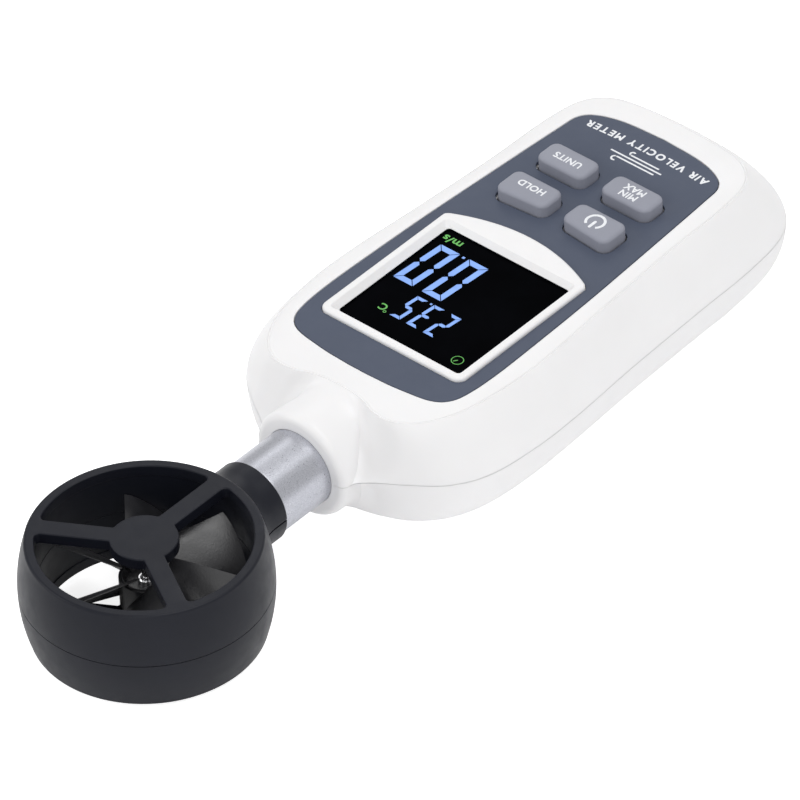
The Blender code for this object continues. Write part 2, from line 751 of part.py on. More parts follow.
def make_head_shell(name, side):
    """One half of the vane head with its guard. side is 1 for the front half, -1 for the rear."""
    shell = mesh_object(name, barrel(), black_plastic())
    boolean(shell, mesh_object(f"{name}_neck", neck(), black_plastic()), "UNION")
    boolean(shell, mesh_object(f"{name}_duct", duct(), steel()))
    bore_start = VANE_Y + DUCT_R + 1.1
    bore = moved(along_y(turned([(NECK_BORE_R, bore_start), (NECK_BORE_R, -29)], 24)), z=AXIS_Z)
    boolean(shell, mesh_object(f"{name}_cable_bore", bore, steel()))
    probe_hole = moved(along_y(turned([(1.2, -60.5), (1.2, -56)], 12)), 2.8, 0, AXIS_Z)
    boolean(shell, mesh_object(f"{name}_probe_hole", probe_hole, steel()))
    low, high = sorted((side * PARTING_GAP / 2, side * 20))
    half = box(-30, 30, VANE_Y - 30, -20, AXIS_Z + low, AXIS_Z + high)
    boolean(shell, mesh_object(f"{name}_half", half, steel()), "INTERSECT")
    boolean(shell, mesh_object(f"{name}_guard", guard(side), black_plastic()), "UNION")
    for angle in ARM_ANGLES:
        boolean(shell, mesh_object(f"{name}_arm_{angle}", arm(side, angle), black_plastic()), "UNION")
    pocket = turned([(BEARING_R + 0.25, side * 5), (BEARING_R + 0.25, side * (HEAD_HALF - 1.2))], 20)
    boolean(shell, mesh_object(f"{name}_pocket", moved(pocket, 0, VANE_Y, AXIS_Z), steel()))
    return shell


def guard(side):
    """The guard's hub with the bearing boss under it."""
    low = HEAD_HALF - GUARD_THICK
    profile = [
        (BEARING_BOSS_R, low - 1.6), (BEARING_BOSS_R, low), (GUARD_HUB_R, low),
        (GUARD_HUB_R, HEAD_HALF - 0.3), (GUARD_HUB_R - 0.3, HEAD_HALF),
    ]
    return moved(turned([(radius, side * z) for radius, z in profile], 36), 0, VANE_Y, AXIS_Z)


def arm(side, angle):
    low, high = sorted((side * (HEAD_HALF - GUARD_THICK), side * (HEAD_HALF - 0.05)))
    solid = box(GUARD_HUB_R - 1.5, DUCT_R + 0.9, -ARM_WIDTH / 2, ARM_WIDTH / 2, low, high)
    bmesh.ops.rotate(solid, matrix=Matrix.Rotation(math.radians(angle), 3, "Z"), verts=solid.verts)
    return moved(solid, 0, VANE_Y, AXIS_Z)


def blade(angle):
    """A thin pitched blade, cambered and slightly twisted from root to tip."""
    rings = []
    steps = 4
    for k in range(steps + 1):
        t = k / steps
        radius = HUB_R - 0.6 + (BLADE_TIP_R - HUB_R + 0.6) * t
        pitch = math.radians(42 + 5 * t)
        half_chord = 5.5 + 1.4 * t
        along = Vector((0, math.sin(pitch), math.cos(pitch)))
        across = Vector((0, -math.cos(pitch), math.sin(pitch)))
        ring = []
        for side in (-1, 1):
            for share in (-1, -0.4, 0.4, 1):
                u = side * share
                offset = side * BLADE_THICK / 2 + BLADE_CAMBER * (1 - u * u)
                point = along * half_chord * u + across * offset
                bend = point.y / radius
                ring.append((radius * math.cos(bend), radius * math.sin(bend), point.z))
        rings.append(ring)
    bm = loft(rings)
    bmesh.ops.rotate(bm, matrix=Matrix.Rotation(angle, 3, "Z"), verts=bm.verts)
    return bm


def make_impeller():
    """The wheel with its dished hub, the bush in the hub's floor, the pin and the magnet."""
    centre = mm(0, VANE_Y, AXIS_Z)
    profile = [
        (BUSH_R, -3.6), (2.6, -3.6), (2.6, -4.6), (HUB_R - 0.5, -4.6), (HUB_R, -4.1),
        (HUB_R, 1.3), (HUB_R - 0.3, 1.65), (HUB_R - 0.7, 1.65), (3.2, 0.4), (BUSH_R, 0.1),
    ]
    hub = moved(turned_ring(profile, 30), 0, VANE_Y, AXIS_Z)
    impeller = mesh_object("impeller", hub, black_plastic(), centre)
    for i in range(BLADE_COUNT):
        solid = moved(blade(2 * math.pi * i / BLADE_COUNT + BLADE_START), 0, VANE_Y, AXIS_Z)
        boolean(impeller, mesh_object(f"blade_{i + 1}", solid, black_plastic()), "UNION")
    bush = turned_ring([
        (BUSH_BORE_R, -3.4), (BUSH_RIM_R, -3.4), (BUSH_RIM_R, 0.95), (BUSH_RIM_R - 0.1, 1.05),
        (BUSH_BORE_R, 1.05),
    ], 24)
    mesh_object("impeller_bush", moved(bush, 0, VANE_Y, AXIS_Z), steel(), centre)
    shaft = turned([(0.4, -8.1), (SHAFT_R, -7.7), (SHAFT_R, 7.7), (0.4, 8.1)], 16)
    mesh_object("impeller_shaft", moved(shaft, 0, VANE_Y, AXIS_Z), steel(), centre)
    magnet = turned_ring([(1.0, -4.5), (2.3, -4.5), (2.3, -3.9), (1.0, -3.9)], 20)
    mesh_object("rotor_magnet", moved(magnet, 0, VANE_Y, AXIS_Z), steel(), centre)


def make_bearing(name, side):
    low = HEAD_HALF - 3.4
    high = HEAD_HALF - 1.5
    profile = [(BEARING_BORE_R, low), (BEARING_R, low), (BEARING_R, high), (BEARING_BORE_R, high)]
    bm = turned_ring([(radius, side * z) for radius, z in profile], 20)
    mesh_object(name, moved(bm, 0, VANE_Y, AXIS_Z), brass())


def make_neck_sleeve():
    profile = [
        (SLEEVE_BORE_R, SLEEVE_HEAD_Y), (SLEEVE_R - 0.15, SLEEVE_HEAD_Y), (SLEEVE_R, SLEEVE_HEAD_Y + 0.15),
        (SLEEVE_R, SLEEVE_TAIL_Y), (SLEEVE_BORE_R, SLEEVE_TAIL_Y),
    ]
    mesh_object("neck_sleeve", moved(along_y(turned_ring(profile, 48)), z=AXIS_Z), satin_metal())


def make_sensors():
    speed = box(-1.4, 1.4, -57.4, -52.4, AXIS_Z - 3.2, AXIS_Z - 1.8)
    mesh_object("speed_sensor", speed, board_green())
    probe = along_y(turned([(0.5, -59.2), (0.85, -58.8), (0.85, -54.5), (0.4, -54.2)], 12))
    mesh_object("temperature_sensor", moved(probe, 2.8, 0, AXIS_Z), steel())


def make_sensor_cable():
    """The lead from the sensors, down the neck and up to its plug on the board."""
    path = ((-51.8, AXIS_Z), (-40, AXIS_Z), (-30, AXIS_Z), (-24.5, 11.5), (-21.1, 12.2))
    rings = []
    for point in spline([Vector((0, y, z)) for y, z in path], 3):
        turns = [math.pi * s / 4 for s in range(8)]
        rings.append([(1.1 * math.cos(t), point.y, point.z + 1.1 * math.sin(t)) for t in turns])
    mesh_object("sensor_cable", loft(rings), black_plastic())


def build():
    clear_scene()
    make_front_case()
    make_rear_case()
    make_battery_door()
    make_face_panel()
    make_display_bezel()
    make_display_stack()
    for name, row, side in KEYS:
        make_button(name, row, side)
        make_switch(name.replace("button", "switch"), row, side)
    make_main_board()
    make_screws()
    make_batteries()
    make_head_shell("head_front_shell", 1)
    make_head_shell("head_rear_shell", -1)
    make_impeller()
    make_bearing("front_bearing", 1)
    make_bearing("rear_bearing", -1)
    make_neck_sleeve()
    make_sensors()
    make_sensor_cable()


build()
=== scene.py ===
"""Looks of the hand-held vane anemometer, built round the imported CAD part.

+X is across the handle, +Y runs from the vane head to the tail, +Z comes out of the display.
Lengths in this script are millimetres, and raw_object() turns them into the frame's metres.
"""

import json
import math

import bmesh
import bpy
from mathutils import Matrix, Vector


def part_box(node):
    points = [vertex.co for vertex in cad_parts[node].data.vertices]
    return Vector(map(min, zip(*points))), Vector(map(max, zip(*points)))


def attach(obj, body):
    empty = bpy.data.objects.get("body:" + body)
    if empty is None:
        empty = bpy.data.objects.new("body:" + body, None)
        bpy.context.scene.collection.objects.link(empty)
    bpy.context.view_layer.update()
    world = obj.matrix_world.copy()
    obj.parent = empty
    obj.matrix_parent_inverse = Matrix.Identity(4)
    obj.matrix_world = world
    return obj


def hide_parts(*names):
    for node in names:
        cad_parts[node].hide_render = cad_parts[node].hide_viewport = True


METRES_PER_MM = 0.001
SHARP_DEGREES = 35
CORNER_STEPS = 8


def box_mm(node):
    low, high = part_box(node)
    return low / METRES_PER_MM, high / METRES_PER_MM


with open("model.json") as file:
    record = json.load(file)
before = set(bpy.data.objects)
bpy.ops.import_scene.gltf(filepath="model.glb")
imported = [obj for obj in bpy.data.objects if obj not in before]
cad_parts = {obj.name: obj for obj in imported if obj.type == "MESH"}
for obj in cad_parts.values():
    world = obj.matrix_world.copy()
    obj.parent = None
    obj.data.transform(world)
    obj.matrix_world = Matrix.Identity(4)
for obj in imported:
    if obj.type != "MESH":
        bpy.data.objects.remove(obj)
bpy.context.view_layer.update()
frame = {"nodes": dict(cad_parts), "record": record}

# Places read from the CAD part
AXIS_Z = sum(corner.z for corner in box_mm("neck_sleeve")) / 2
VANE_Y = sum(corner.y for corner in box_mm("impeller_shaft")) / 2
SLEEVE_HEAD_Y = box_mm("neck_sleeve")[0].y
SLEEVE_TAIL_Y = box_mm("neck_sleeve")[1].y
SLEEVE_R = box_mm("neck_sleeve")[1].x
PANEL_TOP_Z = box_mm("face_panel")[1].z
BEZEL_UNDER_Z = box_mm("display_bezel")[0].z
BEZEL_TOP_Z = box_mm("display_bezel")[1].z
GLASS_Z = box_mm("display_window")[1].z
KEY_TOP_Z = box_mm("power_button")[1].z
KEY_FOOT_Z = box_mm("power_button")[0].z
HEAD_HALF = box_mm("head_front_shell")[1].z - AXIS_Z
VANE_R = box_mm("head_front_shell")[1].x
NECK_TAIL_Y = box_mm("head_front_shell")[1].y
DOOR_LOW, DOOR_HIGH = box_mm("battery_door")

# Case
PANEL_Z = 21.5
CREASE_Z = 21.1
POCKET_Z = 20.6
DECK_UNDER_Z = 18.8
WALL = 1.9
HOLLOW_NECK_Y = (-32.2, -31.5, -27.5)  # of the wall to the neck: at the seam, midway, at its end
BACK_WALL = 1.5
GAP = 0.3
SEAM = 0.015  # half of the gap along the parting lines
SEAM_BEVEL = 0.06
HEAD_SEAM = 0.07
NECK_SLIT = 0.16
PANEL_GAP = 0.12
COLLAR_R = 9.85
COLLAR_MOUTH_Y = -39.6
COLLAR_LIP_R = 1.4
LIP_STEPS = 8
BORE_END_Y = -34.3
FLANGE_Y = -32.2
FLANGE_R = 6.8
SLEEVE_BORE_R = 6.2
NECK_R = 7.5
NECK_TUBE_R = 5.6
NECK_BORE_R = 4.4

# Half outlines from the tail, x = 0, round to the neck, x = 0
WIDEST = (
    (0, 67), (11, 66), (19.2, 62.7), (23.5, 56.4), (25.1, 46), (25.5, 33), (26.2, 15),
    (27.2, 0), (27.3, -11), (26, -21.1), (22.5, -27.6), (17.3, -31.8), (12.6, -34.9),
    (10.4, -36.9),
)
CREASE = (
    (0, 59.4), (8, 59.1), (14.2, 57.8), (18.2, 53.8), (19.5, 46), (19.8, 33), (20.9, 15),
    (22, 0), (22, -10), (20.6, -20.2), (17.7, -27), (13.4, -30.6), (9, -30.8),
    (6.4, -29.9), (4.6, -29.4), (2.4, -29.1), (0, -29),
)
PANEL = (
    (0, 54.1), (8, 53.6), (12.9, 52.2), (15.5, 49.8), (16.1, 45), (17, 31), (18, 14),
    (18.5, 0), (18.7, -11), (18.2, -18), (16.9, -21.3), (14.2, -23), (9.4, -23.8),
    (6.5, -24.1), (4.2, -24.2), (2, -24.3), (0, -24.3),
)
BACK = (
    (0, 60), (9, 59.2), (14, 56.8), (17, 52), (17.9, 44), (18.2, 33), (18.8, 15),
    (19.5, 0), (19.9, -10), (19.3, -18.6), (17.4, -24.2), (14, -28), (10, -30.3),
    (7.5, -31.4), (5, -32), (2.4, -32.3), (0, -32.4),
)
NECK_BLEND = (0, 0, 0, 0, 0, 0, 0, 0, 0, 0, 0, 0.15, 0.45, 0.85, 1, 1, 1)
SPAN_STEPS = 6
SHOULDER_STEPS = 12
MOUTH_INDEX = len(WIDEST) * SPAN_STEPS

# Display and keys
CASE_OPENING_HALF = (14.7, 15.2)
GLASS_HALF = (14.35, 14.85)
CLOCK_PLACE = (10.6, -11.5)
BEZEL_X = 15.65
BEZEL_HEAD = 16.75
BEZEL_CORNER_R = 1.8
BEZEL_CREST = (-14.35, 14.35, -15.4, 14.5)  # x and y spans
BEZEL_OPENING = (-13.2, 13.66, -14.5, 13.6)
ARCH_X = 15.0
ARCH_FOOT_Y = 15.9
ARCH_RISE = 3.6
ARC_STEPS = 40
KEY_HALF_WIDTH = 5.2
KEY_X = 7.06
KEY_ROWS = {"lower": 27.75, "upper": 37.45}
KEY_CORNER_R = 1.6
KEYS = (
    ("power_button", "power_key", "lower", 1),
    ("hold_button", "hold_key", "lower", -1),
    ("min_max_button", "min_max_key", "upper", 1),
    ("units_button", "units_key", "upper", -1),
)
KEY_HALF_LENGTH = 2.75
KEY_SLANT = 0.9
KEY_FILLET = 0.75
KEY_CROWN = 0.06
HOLE_SHIFT = 0.2  # the holes on the -X side sit this much further out
THROUGH_DECK = (16, 24)

# Back of the case
BAY_X = 16.8
BAY_Y = (3.5, 52.7)
BAY_WALL = 0.8
BAY_ROOF_Z = 12.5
DOOR_THICK = 1.2
DOOR_CORNER_R = 1.7
GRIP_Y = BAY_Y[1] - 4
GRIP_HALF = (5, 1.2)
LABEL_HALF = (13, 7)
LABEL_PLACE = (0, -10.5)
LABEL_DEPTH = 0.18
SCREWS = ((-17.4, -17.5), (17.4, -17.5), (-19.9, 44.0), (19.9, 44.0))
FRONT_POST_ENDS = (19.2, 19.2, 17.0, 17.0)  # heights, in the order of the screws
REAR_POST_ENDS = (1.0, 1.0, 3.4, 3.4)
FRONT_POST_R = 2.2
REAR_POST_R = 2.8
THREAD_R = 1.05
THREAD_END_Z = 16.0
SCREW_HEAD_R = 2.2
SCREW_HOLE_R = 1.3
SCREW_SEAT_Z = 4.5

# Vane head
RIM_R = 19.8
RIM_FILLET = 0.5
WALL_STEPS = 14
FLARE_END_Y = -53.6  # the neck's flare into the barrel
FLARE_LENGTH = 4.0
FLARE_RISE = 1.65
FLARE_STEPS = 10
DUCT_R = 18.15
OPENING_R = 18.0
GUARD_HUB_R = 5.75
GUARD_THICK = 2.0
RIM_CORNER_R = 0.9
HUB_CORNER_R = 0.35
ARM_HALF = 1.75
ARM_ANGLES = (90, 210, 330)
BEARING_BOSS_R = 3.2
BEARING_R = 1.8
SHAFT_R = 0.75
SHAFT_HALF = 8.1
HUB_R = 4.6
BUSH_R = 1.4
BLADE_TIP_R = 17.0
BLADE_COUNT = 6
BLADE_START = math.radians(7)
BLADE_THICK = 0.5
BLADE_PITCH = 42  # degrees at the root
BLADE_TWIST = 5  # degrees more at the tip
BLADE_ROOT_CHORD = 11.0
BLADE_FLARE = 1.4  # each edge, from root to tip
BLADE_CAMBER = 0.7

# Print
PRINT_THICK = 0.04
MARK_THICK = 0.03
MARK_RISE = 0.012  # of a mark's face above the face it lies on
WORD_GAP = 0.5
TITLE = "AIR VELOCITY METER"
KEY_WORDS = (
    # name, word, middle of its foot line, size, width, body
    ("hold_label", "HOLD", (-6.95, 28.5), 2.02, 5.6, "hold_key"),
    ("units_label", "UNITS", (-7.0, 37.9), 2.02, 5.7, "units_key"),
    ("min_label", "MIN", (7.1, 37.05), 2.05, 3.5, "min_max_key"),
    ("max_label", "MAX", (7.1, 38.85), 2.05, 4.25, "min_max_key"),
)
# y, both ends in x, and the radius of the curl: towards the head if positive, 0 for none
GUSTS = ((45.6, 4.6, -3.4, 0.72), (46.45, 5.6, -5.2, 0.0), (47.3, 4.4, -1.6, -0.6))


# ---- shader building


class Shader:
    """A small helper for wiring one procedural material."""

    def __init__(self, name):
        self.material = bpy.data.materials.new(name)
        self.material.use_nodes = True
        self.tree = self.material.node_tree
        self.surface = self.tree.nodes["Principled BSDF"]
        self.place = self.node("ShaderNodeTexCoord").outputs["Object"]
        self.bump_normal = None

    def node(self, kind, **settings):
        made = self.tree.nodes.new(kind)
        for name, value in settings.items():
            setattr(made, name, value)
        return made

    def link(self, source, target):
        self.tree.links.new(source, target)

    def noise(self, scale, detail):
        """Noise between 0 and 1. scale is in features per metre."""
        made = self.node("ShaderNodeTexNoise")
        made.inputs["Scale"].default_value = scale
        made.inputs["Detail"].default_value = detail
        self.link(self.place, made.inputs["Vector"])
        return made.outputs["Fac"]

    def remap(self, value, low, high, start=0.3, end=0.7):
        """The value's span from start to end, stretched to run from low to high."""
        made = self.node("ShaderNodeMapRange")
        made.inputs["From Min"].default_value = start
        made.inputs["From Max"].default_value = end
        made.inputs["To Min"].default_value = low
        made.inputs["To Max"].default_value = high
        self.link(value, made.inputs["Value"])
        return made.outputs["Result"]

    def mix(self, factor, first, second):
        """A colour between two colours."""
        made = self.node("ShaderNodeMix", data_type="RGBA")
        self.link(factor, made.inputs["Factor"])
        for colour, socket in ((first, made.inputs[6]), (second, made.inputs[7])):
            socket.default_value = (*colour, 1)
        return made.outputs[2]

    def bump(self, height, depth_mm, strength):
        made = self.node("ShaderNodeBump")
        made.inputs["Strength"].default_value = strength
        made.inputs["Distance"].default_value = depth_mm * METRES_PER_MM
        self.link(height, made.inputs["Height"])
        if self.bump_normal is not None:
            self.link(self.bump_normal, made.inputs["Normal"])
        self.bump_normal = made.outputs["Normal"]

    def rounded_edges(self, radius_mm):
        """Rounds hard edges in the shading by this radius."""
        made = self.node("ShaderNodeBevel", samples=4)
        made.inputs["Radius"].default_value = radius_mm * METRES_PER_MM
        self.bump_normal = made.outputs["Normal"]

    def set(self, name, value):
        if isinstance(value, (float, int)):
            self.surface.inputs[name].default_value = value
        elif isinstance(value, tuple):
            self.surface.inputs[name].default_value = (*value, 1)
        else:
            self.link(value, self.surface.inputs[name])

    def vary(self, name, pattern, first, second):
        """Lets an input wander between two colours or two numbers with the pattern."""
        if isinstance(first, tuple):
            self.set(name, self.mix(self.remap(pattern, 0, 1), first, second))
        else:
            self.set(name, self.remap(pattern, first, second))

    def done(self):
        if self.bump_normal is not None:
            self.link(self.bump_normal, self.surface.inputs["Normal"])
        return self.material


def moulded(name, colour, roughness, grain_mm, depth_mm, mottle, edge_mm=0.12, shine=0.5):
    """Moulded plastic: fine spark-eroded grain, faint mottling, uneven sheen."""
    look = Shader(name)
    look.rounded_edges(edge_mm)
    darker = tuple(channel * (1 - mottle) for channel in colour)
    lighter = tuple(channel * (1 + mottle) for channel in colour)
    look.vary("Base Color", look.noise(90, 3), darker, lighter)
    look.vary("Roughness", look.noise(400, 4), roughness - 0.05, roughness + 0.06)
    look.set("Specular IOR Level", shine)
    look.bump(look.noise(1000 / grain_mm, 2), depth_mm, 0.6)
    look.bump(look.noise(60, 2), 0.02, 0.25)
    return look


def body_white():
    look = moulded("body_white", (0.86, 0.855, 0.86), 0.36, 0.35, 0.004, 0.012, shine=0.45)
    look.set("Subsurface Weight", 0.08)
    look.surface.inputs["Subsurface Radius"].default_value = (0.8, 0.7, 0.6)
    look.surface.inputs["Subsurface Scale"].default_value = METRES_PER_MM
    return look


def head_black():
    return moulded("head_black", (0.0092, 0.0104, 0.0165), 0.36, 0.18, 0.012, 0.10, shine=0.22)


def impeller_black():
    colour = (0.018, 0.018, 0.021)
    return moulded("impeller_black", colour, 0.36, 0.30, 0.045, 0.35, edge_mm=0.05, shine=1.0)


def panel_grey():
    colour = (0.082, 0.097, 0.138)
    return moulded("panel_grey", colour, 0.50, 0.12, 0.006, 0.03, edge_mm=0.06, shine=0.2)


def key_grey():
    return moulded("key_grey", (0.288, 0.298, 0.352), 0.52, 0.22, 0.006, 0.03, shine=0.35)


def cream_plastic():
    return moulded("cream_plastic", (0.70, 0.69, 0.63), 0.42, 0.3, 0.006, 0.03)


def cell_wrap():
    look = moulded("cell_wrap", (0.045, 0.10, 0.26), 0.28, 0.8, 0.01, 0.06, edge_mm=0.2)
    look.set("Coat Weight", 0.4)
    look.set("Coat Roughness", 0.25)
    return look


def print_white():
    look = Shader("print_white")
    look.vary("Base Color", look.noise(2500, 3), (0.74, 0.76, 0.80), (0.90, 0.91, 0.93))
    look.vary("Roughness", look.noise(1200, 2), 0.4, 0.6)
    look.bump(look.noise(5000, 2), 0.003, 0.5)
    return look


def window_black():
    look = Shader("window_black")
    smears = look.noise(120, 4)
    look.vary("Base Color", smears, (0.0008, 0.0009, 0.0013), (0.0016, 0.0018, 0.0026))
    look.vary("Roughness", look.noise(200, 3), 0.10, 0.16)
    look.set("IOR", 1.03)
    look.bump(look.noise(900, 2), 0.001, 0.2)
    return look


def lit_segment(name, colour, strength):
    """A lit segment: slightly uneven, under the polished window."""
    look = Shader(name)
    dimmer = tuple(channel * 0.86 for channel in colour)
    look.set("Base Color", (0.01, 0.01, 0.01))
    look.vary("Roughness", look.noise(900, 2), 0.15, 0.3)
    look.vary("Emission Color", look.noise(700, 2), dimmer, colour)
    look.set("Emission Strength", strength)
    return look


def digit_blue():
    return lit_segment("digit_blue", (0.22, 0.43, 1.0), 1.0)


def icon_green():
    return lit_segment("icon_green", (0.10, 0.52, 0.06), 0.9)


def satin_silver():
    look = Shader("satin_silver")
    look.rounded_edges(0.15)
    grain = look.noise(5200, 4)
    look.vary("Base Color", grain, (0.45, 0.46, 0.51), (0.64, 0.65, 0.70))
    look.set("Metallic", 0.95)
    look.vary("Roughness", look.noise(2600, 2), 0.27, 0.37)
    look.bump(grain, 0.008, 0.8)
    return look


def polished_steel():
    look = Shader("polished_steel")
    look.vary("Base Color", look.noise(1500, 3), (0.62, 0.62, 0.63), (0.75, 0.75, 0.76))
    look.set("Metallic", 1.0)
    look.vary("Roughness", look.noise(3000, 3), 0.12, 0.24)
    look.bump(look.noise(6000, 2), 0.002, 0.4)
    return look


def plated_metal():
    look = Shader("plated_metal")
    look.vary("Base Color", look.noise(800, 3), (0.62, 0.53, 0.30), (0.80, 0.72, 0.48))
    look.set("Metallic", 1.0)
    look.vary("Roughness", look.noise(2500, 3), 0.22, 0.38)
    look.bump(look.noise(4000, 2), 0.004, 0.4)
    return look


def board_green():
    look = Shader("board_green")
    weave = look.node("ShaderNodeTexVoronoi", feature="F1")
    weave.inputs["Scale"].default_value = 2200
    look.link(look.place, weave.inputs["Vector"])
    cells = weave.outputs["Distance"]
    tone = look.remap(cells, 0, 1, 0, 0.8)
    look.set("Base Color", look.mix(tone, (0.01, 0.10, 0.045), (0.02, 0.17, 0.08)))
    look.vary("Roughness", look.noise(900, 2), 0.3, 0.45)
    look.bump(cells, 0.01, 0.4)
    return look


MAKERS = {
    "body_white": body_white, "head_black": head_black, "impeller_black": impeller_black,
    "panel_grey": panel_grey, "key_grey": key_grey, "print_white": print_white,
    "window_black": window_black, "digit_blue": digit_blue, "icon_green": icon_green,
    "sleeve_silver": satin_silver, "steel": polished_steel, "contact_metal": plated_metal,
    "board_green": board_green, "cell_wrap": cell_wrap, "cream_plastic": cream_plastic,
}

LOOKS = {}


def look_of(slot):
    """The material for this slot, made once."""
    if slot not in LOOKS:
        LOOKS[slot] = MAKERS[slot]().done()
    return LOOKS[slot]


# ---- mesh tools


def raw_object(name, bm):
    """An object from a bmesh in millimetres, with nothing set on it yet."""
    bmesh.ops.recalc_face_normals(bm, faces=bm.faces)
    bmesh.ops.scale(bm, vec=(METRES_PER_MM,) * 3, verts=bm.verts)
    data = bpy.data.meshes.new(name)
    bm.to_mesh(data)
    bm.free()
    made = bpy.data.objects.new(name, data)
    bpy.context.scene.collection.objects.link(made)
    return made


def applied(obj):
    """Replaces the object's mesh by what its modifiers make of it."""
    graph = bpy.context.evaluated_depsgraph_get()
    data = bpy.data.meshes.new_from_object(obj.evaluated_get(graph))
    obj.modifiers.clear()
    old = obj.data
    obj.data = data
    bpy.data.meshes.remove(old)


def carve(target, bm, operation="DIFFERENCE"):
    """Cuts the solid bm from the target, or joins it on."""
    tool = raw_object("tool", bm)
    step = target.modifiers.new("carve", "BOOLEAN")
    step.operation = operation
    step.object = tool
    step.solver = "MANIFOLD"
    applied(target)
    bpy.data.objects.remove(tool)


def piece(obj, slot, body, nodes=(), flat_weight=True):
    """Gives a finished object its look, its shading and its place on a body."""
    obj.data.materials.clear()
    obj.data.materials.append(look_of(slot))
    obj.data.shade_smooth()
    obj.data.set_sharp_from_angle(angle=math.radians(SHARP_DEGREES))
    if flat_weight:
        weigh = obj.modifiers.new("even_normals", "WEIGHTED_NORMAL")
        weigh.keep_sharp = True
    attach(obj, body)
    if nodes:
        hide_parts(*nodes)


def loft(rings, closed_end=True, split=None):
    """A bmesh through rings of equal count, capped at both ends or joined end to start.
    A first ring bent at the points split and -split gets a cap on each side of the bend."""
    bm = bmesh.new()
    rows = [[bm.verts.new(point) for point in ring] for ring in rings]
    pairs = list(zip(rows, rows[1:]))
    if not closed_end:
        pairs.append((rows[-1], rows[0]))
    for lower, upper in pairs:
        count = len(lower)
        for i in range(count):
            j = (i + 1) % count
            bm.faces.new((lower[i], lower[j], upper[j], upper[i]))
    if closed_end:
        bm.faces.new(rows[-1])
        if split is None:
            bm.faces.new(rows[0])
        else:
            bm.faces.new(rows[0][split : -split + 1])
            bm.faces.new(rows[0][-split:] + rows[0][: split + 1])
    return bm


def quarter_turn(steps):
    """Cosine and sine at equal steps after the start of a quarter turn, up to its end."""
    turns = [math.pi / 2 * k / steps for k in range(1, steps + 1)]
    return [(math.cos(turn), math.sin(turn)) for turn in turns]


def arc(centre, radius, first, last, steps):
    """Points along an arc from one angle to another, in radians, both ends included."""
    x, y = centre
    turns = [first + (last - first) * k / steps for k in range(steps + 1)]
    return [(x + radius * math.cos(turn), y + radius * math.sin(turn)) for turn in turns]


def circle(radius, z, count):
    turn = 2 * math.pi / count
    return [(radius * math.cos(i * turn), radius * math.sin(i * turn), z) for i in range(count)]


def turned(profile, count):
    return loft([circle(radius, z, count) for radius, z in profile])


def pin(radius, z0, z1, count):
    return turned([(radius, z0), (radius, z1)], count)


def turned_ring(profile, count):
    return loft([circle(radius, z, count) for radius, z in profile], closed_end=False)


def spun(bm, matrix):
    bmesh.ops.rotate(bm, matrix=matrix, verts=bm.verts)
    return bm


def along_y(bm):
    return spun(bm, Matrix.Rotation(math.radians(-90), 3, "X"))


def moved(bm, x=0.0, y=0.0, z=0.0):
    bmesh.ops.translate(bm, vec=(x, y, z), verts=bm.verts)
    return bm


def at_vane(bm):
    return moved(bm, 0, VANE_Y, AXIS_Z)


def prism(outline, z0, z1):
    return loft([[(x, y, z) for x, y in outline] for z in (z0, z1)])


def slab(levels):
    """A solid through (outline, z) levels."""
    return loft([[(x, y, z) for x, y in outline] for outline, z in levels])


def box(x0, x1, y0, y1, z0, z1):
    return prism([(x0, y0), (x1, y0), (x1, y1), (x0, y1)], z0, z1)


def rounded(corners, radius):
    """An outline of straight sides whose corners are arcs of this radius."""
    points = []
    count = len(corners)
    for i, corner in enumerate(corners):
        here = Vector(corner)
        to_last = (Vector(corners[i - 1]) - here).normalized()
        to_next = (Vector(corners[(i + 1) % count]) - here).normalized()
        half = to_last.angle(to_next) / 2
        centre = here + (to_last + to_next).normalized() * (radius / math.sin(half))
        start = here + to_last * (radius / math.tan(half)) - centre
        end = here + to_next * (radius / math.tan(half)) - centre
        turn = math.atan2(end.y, end.x) - math.atan2(start.y, start.x)
        sweep = (turn + math.pi) % (2 * math.pi) - math.pi
        for k in range(CORNER_STEPS + 1):
            points.append(tuple(centre + Matrix.Rotation(sweep * k / CORNER_STEPS, 2) @ start))
    return points


def rectangle(half_x, half_y, centre=(0, 0)):
    x, y = centre
    signs = ((-1, -1), (1, -1), (1, 1), (-1, 1))
    return [(x + sx * half_x, y + sy * half_y) for sx, sy in signs]


def grown(outline, distance):
    """The outline, counter-clockwise, moved outward by this distance along its normals."""
    points = [Vector(point[:2]) for point in outline]
    found = []
    for i, point in enumerate(points):
        along = points[(i + 1) % len(points)] - points[i - 1]
        outward = Vector((along.y, -along.x)).normalized()
        found.append(tuple(point + outward * distance))
    return found


def evenly(outline, count):
    """The closed outline sampled at equal steps of its length."""
    points = [Vector(point) for point in outline]
    ends = points[1:] + points[:1]
    lengths = [(end - start).length for start, end in zip(points, ends)]
    step = sum(lengths) / count
    found = []
    index = 0
    covered = 0.0
    for k in range(count):
        target = k * step
        while covered + lengths[index] < target:
            covered += lengths[index]
            index += 1
        part = (target - covered) / lengths[index]
        found.append(tuple(points[index].lerp(ends[index], part)))
    return found


# ---- case surface


def spline(points, steps):
    """A Catmull-Rom curve through the points, with this many steps to each span."""
    knots = [2 * points[0] - points[1], *points, 2 * points[-1] - points[-2]]
    curve = []
    for i in range(1, len(knots) - 2):
        a, b, c, d = knots[i - 1 : i + 3]
        for k in range(steps):
            t = k / steps
            bend = (2 * a - 5 * b + 4 * c - d) * t**2 + (3 * b - a - 3 * c + d) * t**3
            curve.append(0.5 * (2 * b + (c - a) * t + bend))
    curve.append(points[-1].copy())
    return curve


def whole_ring(half):
    back = [Vector((-p.x, *p[1:])) for p in reversed(half[1:-1])]
    return half + back


def ring_at(points, z):
    return whole_ring(spline([Vector((x, y, z)) for x, y in points], SPAN_STEPS))


